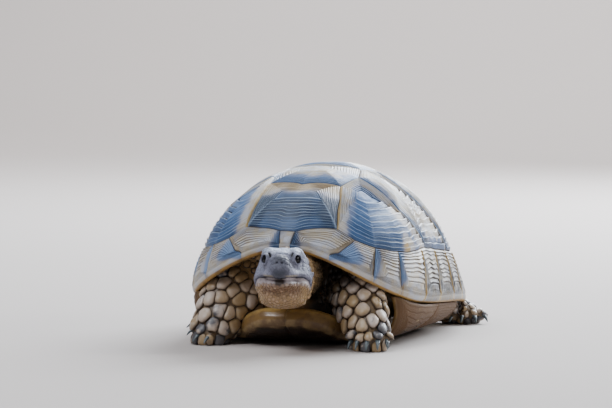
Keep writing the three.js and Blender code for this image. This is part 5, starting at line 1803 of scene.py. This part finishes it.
def clawShape(root, tip, spec):
    # a curved, blunt cone with a flatter underside
    rings, around = spec["rings"], spec["around"]
    root, tip = np.array(root, float), np.array(tip, float)
    axis = tip - root
    length = np.linalg.norm(axis)
    e = axis / length
    side = unit(np.cross(e, (0, 0, 1.0)))
    up = np.cross(side, e)
    t = np.linspace(-0.22, 1, rings + 1)[:-1]
    turn = np.arange(around) * 2 * math.pi / around
    thin = np.sqrt(np.clip(1 - (np.maximum(t, 0) ** 1.7), 0.02, 1)) * mix(1, 0.62, np.maximum(t, 0))
    rise = spec["arch"] * length * np.sin(np.clip(t, 0, 1) * math.pi)
    middle = root + np.outer(t * length, e) + np.outer(rise, up)
    lower = np.where(np.sin(turn) < 0, 0.75, 1)
    ring = middle[:, None] + spec["width"] * thin[:, None, None] * np.cos(turn)[None, :, None] * side
    ring = ring + spec["depth"] * thin[:, None, None] * (np.sin(turn) * lower)[None, :, None] * up
    points = np.concatenate([[middle[0] - 0.3 * e], ring.reshape(-1, 3), [tip]])
    return points, *tube(rings, around), np.concatenate([[0], np.repeat(np.clip(t, 0, 1), around), [1]])


clawMaterial = clawFinish()
for name, limb in limbs.items():
    if not limb.claws:
        continue
    points, quads, caps, along = zip(*(clawShape(root, tip, clawLook) for root, tip in limb.claws))
    starts = np.arange(len(points)) * len(points[0])
    quads, caps = (np.concatenate([f + start for f, start in zip(faces, starts)]) for faces in (quads, caps))
    points, along = np.concatenate(points), np.concatenate(along)
    mesh = buildMesh("claws_" + name, points, facingOut(points, quads, caps), dict(along=along))
    addPiece("claws_" + name, mesh, clawMaterial, (name,))
print("the claws are made")


def ball(rows, columns):
    # a ball of radius 1, of rings about +Z
    down = np.linspace(0, math.pi, rows + 1)[1:-1, None]
    turn = np.arange(columns) * 2 * math.pi / columns
    ring = np.broadcast_arrays(np.sin(down) * np.cos(turn), np.sin(down) * np.sin(turn), np.cos(down))
    ring = np.stack(ring, -1)
    points = np.concatenate([[(0, 0, 1)], ring.reshape(-1, 3), [(0, 0, -1)]])
    return points, list(tubeInsideOut(rows - 1, columns))


eyeLook = dict(
    pupil=0.44, iris=0.70, cornea=0.035,
    pupilColour=(0.002, 0.002, 0.003), irisColour=(0.006, 0.004, 0.003), ringColour=(0.018, 0.010, 0.005),
    white=(0.012, 0.009, 0.008),
)


def eyeFinish():
    f = Finish("eye", Roughness=0.07, Specular_IOR_Level=0.35, IOR=1.38)
    k = eyeLook
    off = f.field("off")  # distance from the middle of the pupil, the eyeball's radius being 1
    iris = f.blend(off.ramp(k["pupil"], k["iris"]), k["irisColour"], k["ringColour"])
    iris = f.blend(f.noise(2600, 2) * 0.5, iris, k["irisColour"])
    colour = f.blend(off.ramp(k["iris"], k["iris"] + 0.08), iris, k["white"])
    colour = f.blend(off.ramp(k["pupil"] - 0.05, k["pupil"]), k["pupilColour"], colour)
    f.set("Base Color", colour)
    return f.material


eyeMaterial = eyeFinish()
for sideName, side in (("left", 1), ("right", -1)):
    way, length, tall = eyeAxes()
    points, faces = ball(24, 40)
    off = np.hypot(points[:, 0], points[:, 1]) + (points[:, 2] < 0)
    points = points * (1 + eyeLook["cornea"] * bell(off, 0, 0.5))[:, None]  # it stands out a little
    points = points * (eyeSpec["radius"] - 0.02)
    local = points[:, :1] * length + points[:, 1:2] * tall + points[:, 2:] * way + eyeSpec["centre"]
    if side < 0:
        local[:, 0] *= -1
        faces = [f[:, ::-1] for f in faces]
    mesh = buildMesh("eye_" + sideName, headToBody(local), faces, dict(off=off))
    addPiece("eyeball_" + sideName, mesh, eyeMaterial, ("eye_" + sideName,))
print("the eyes are made")
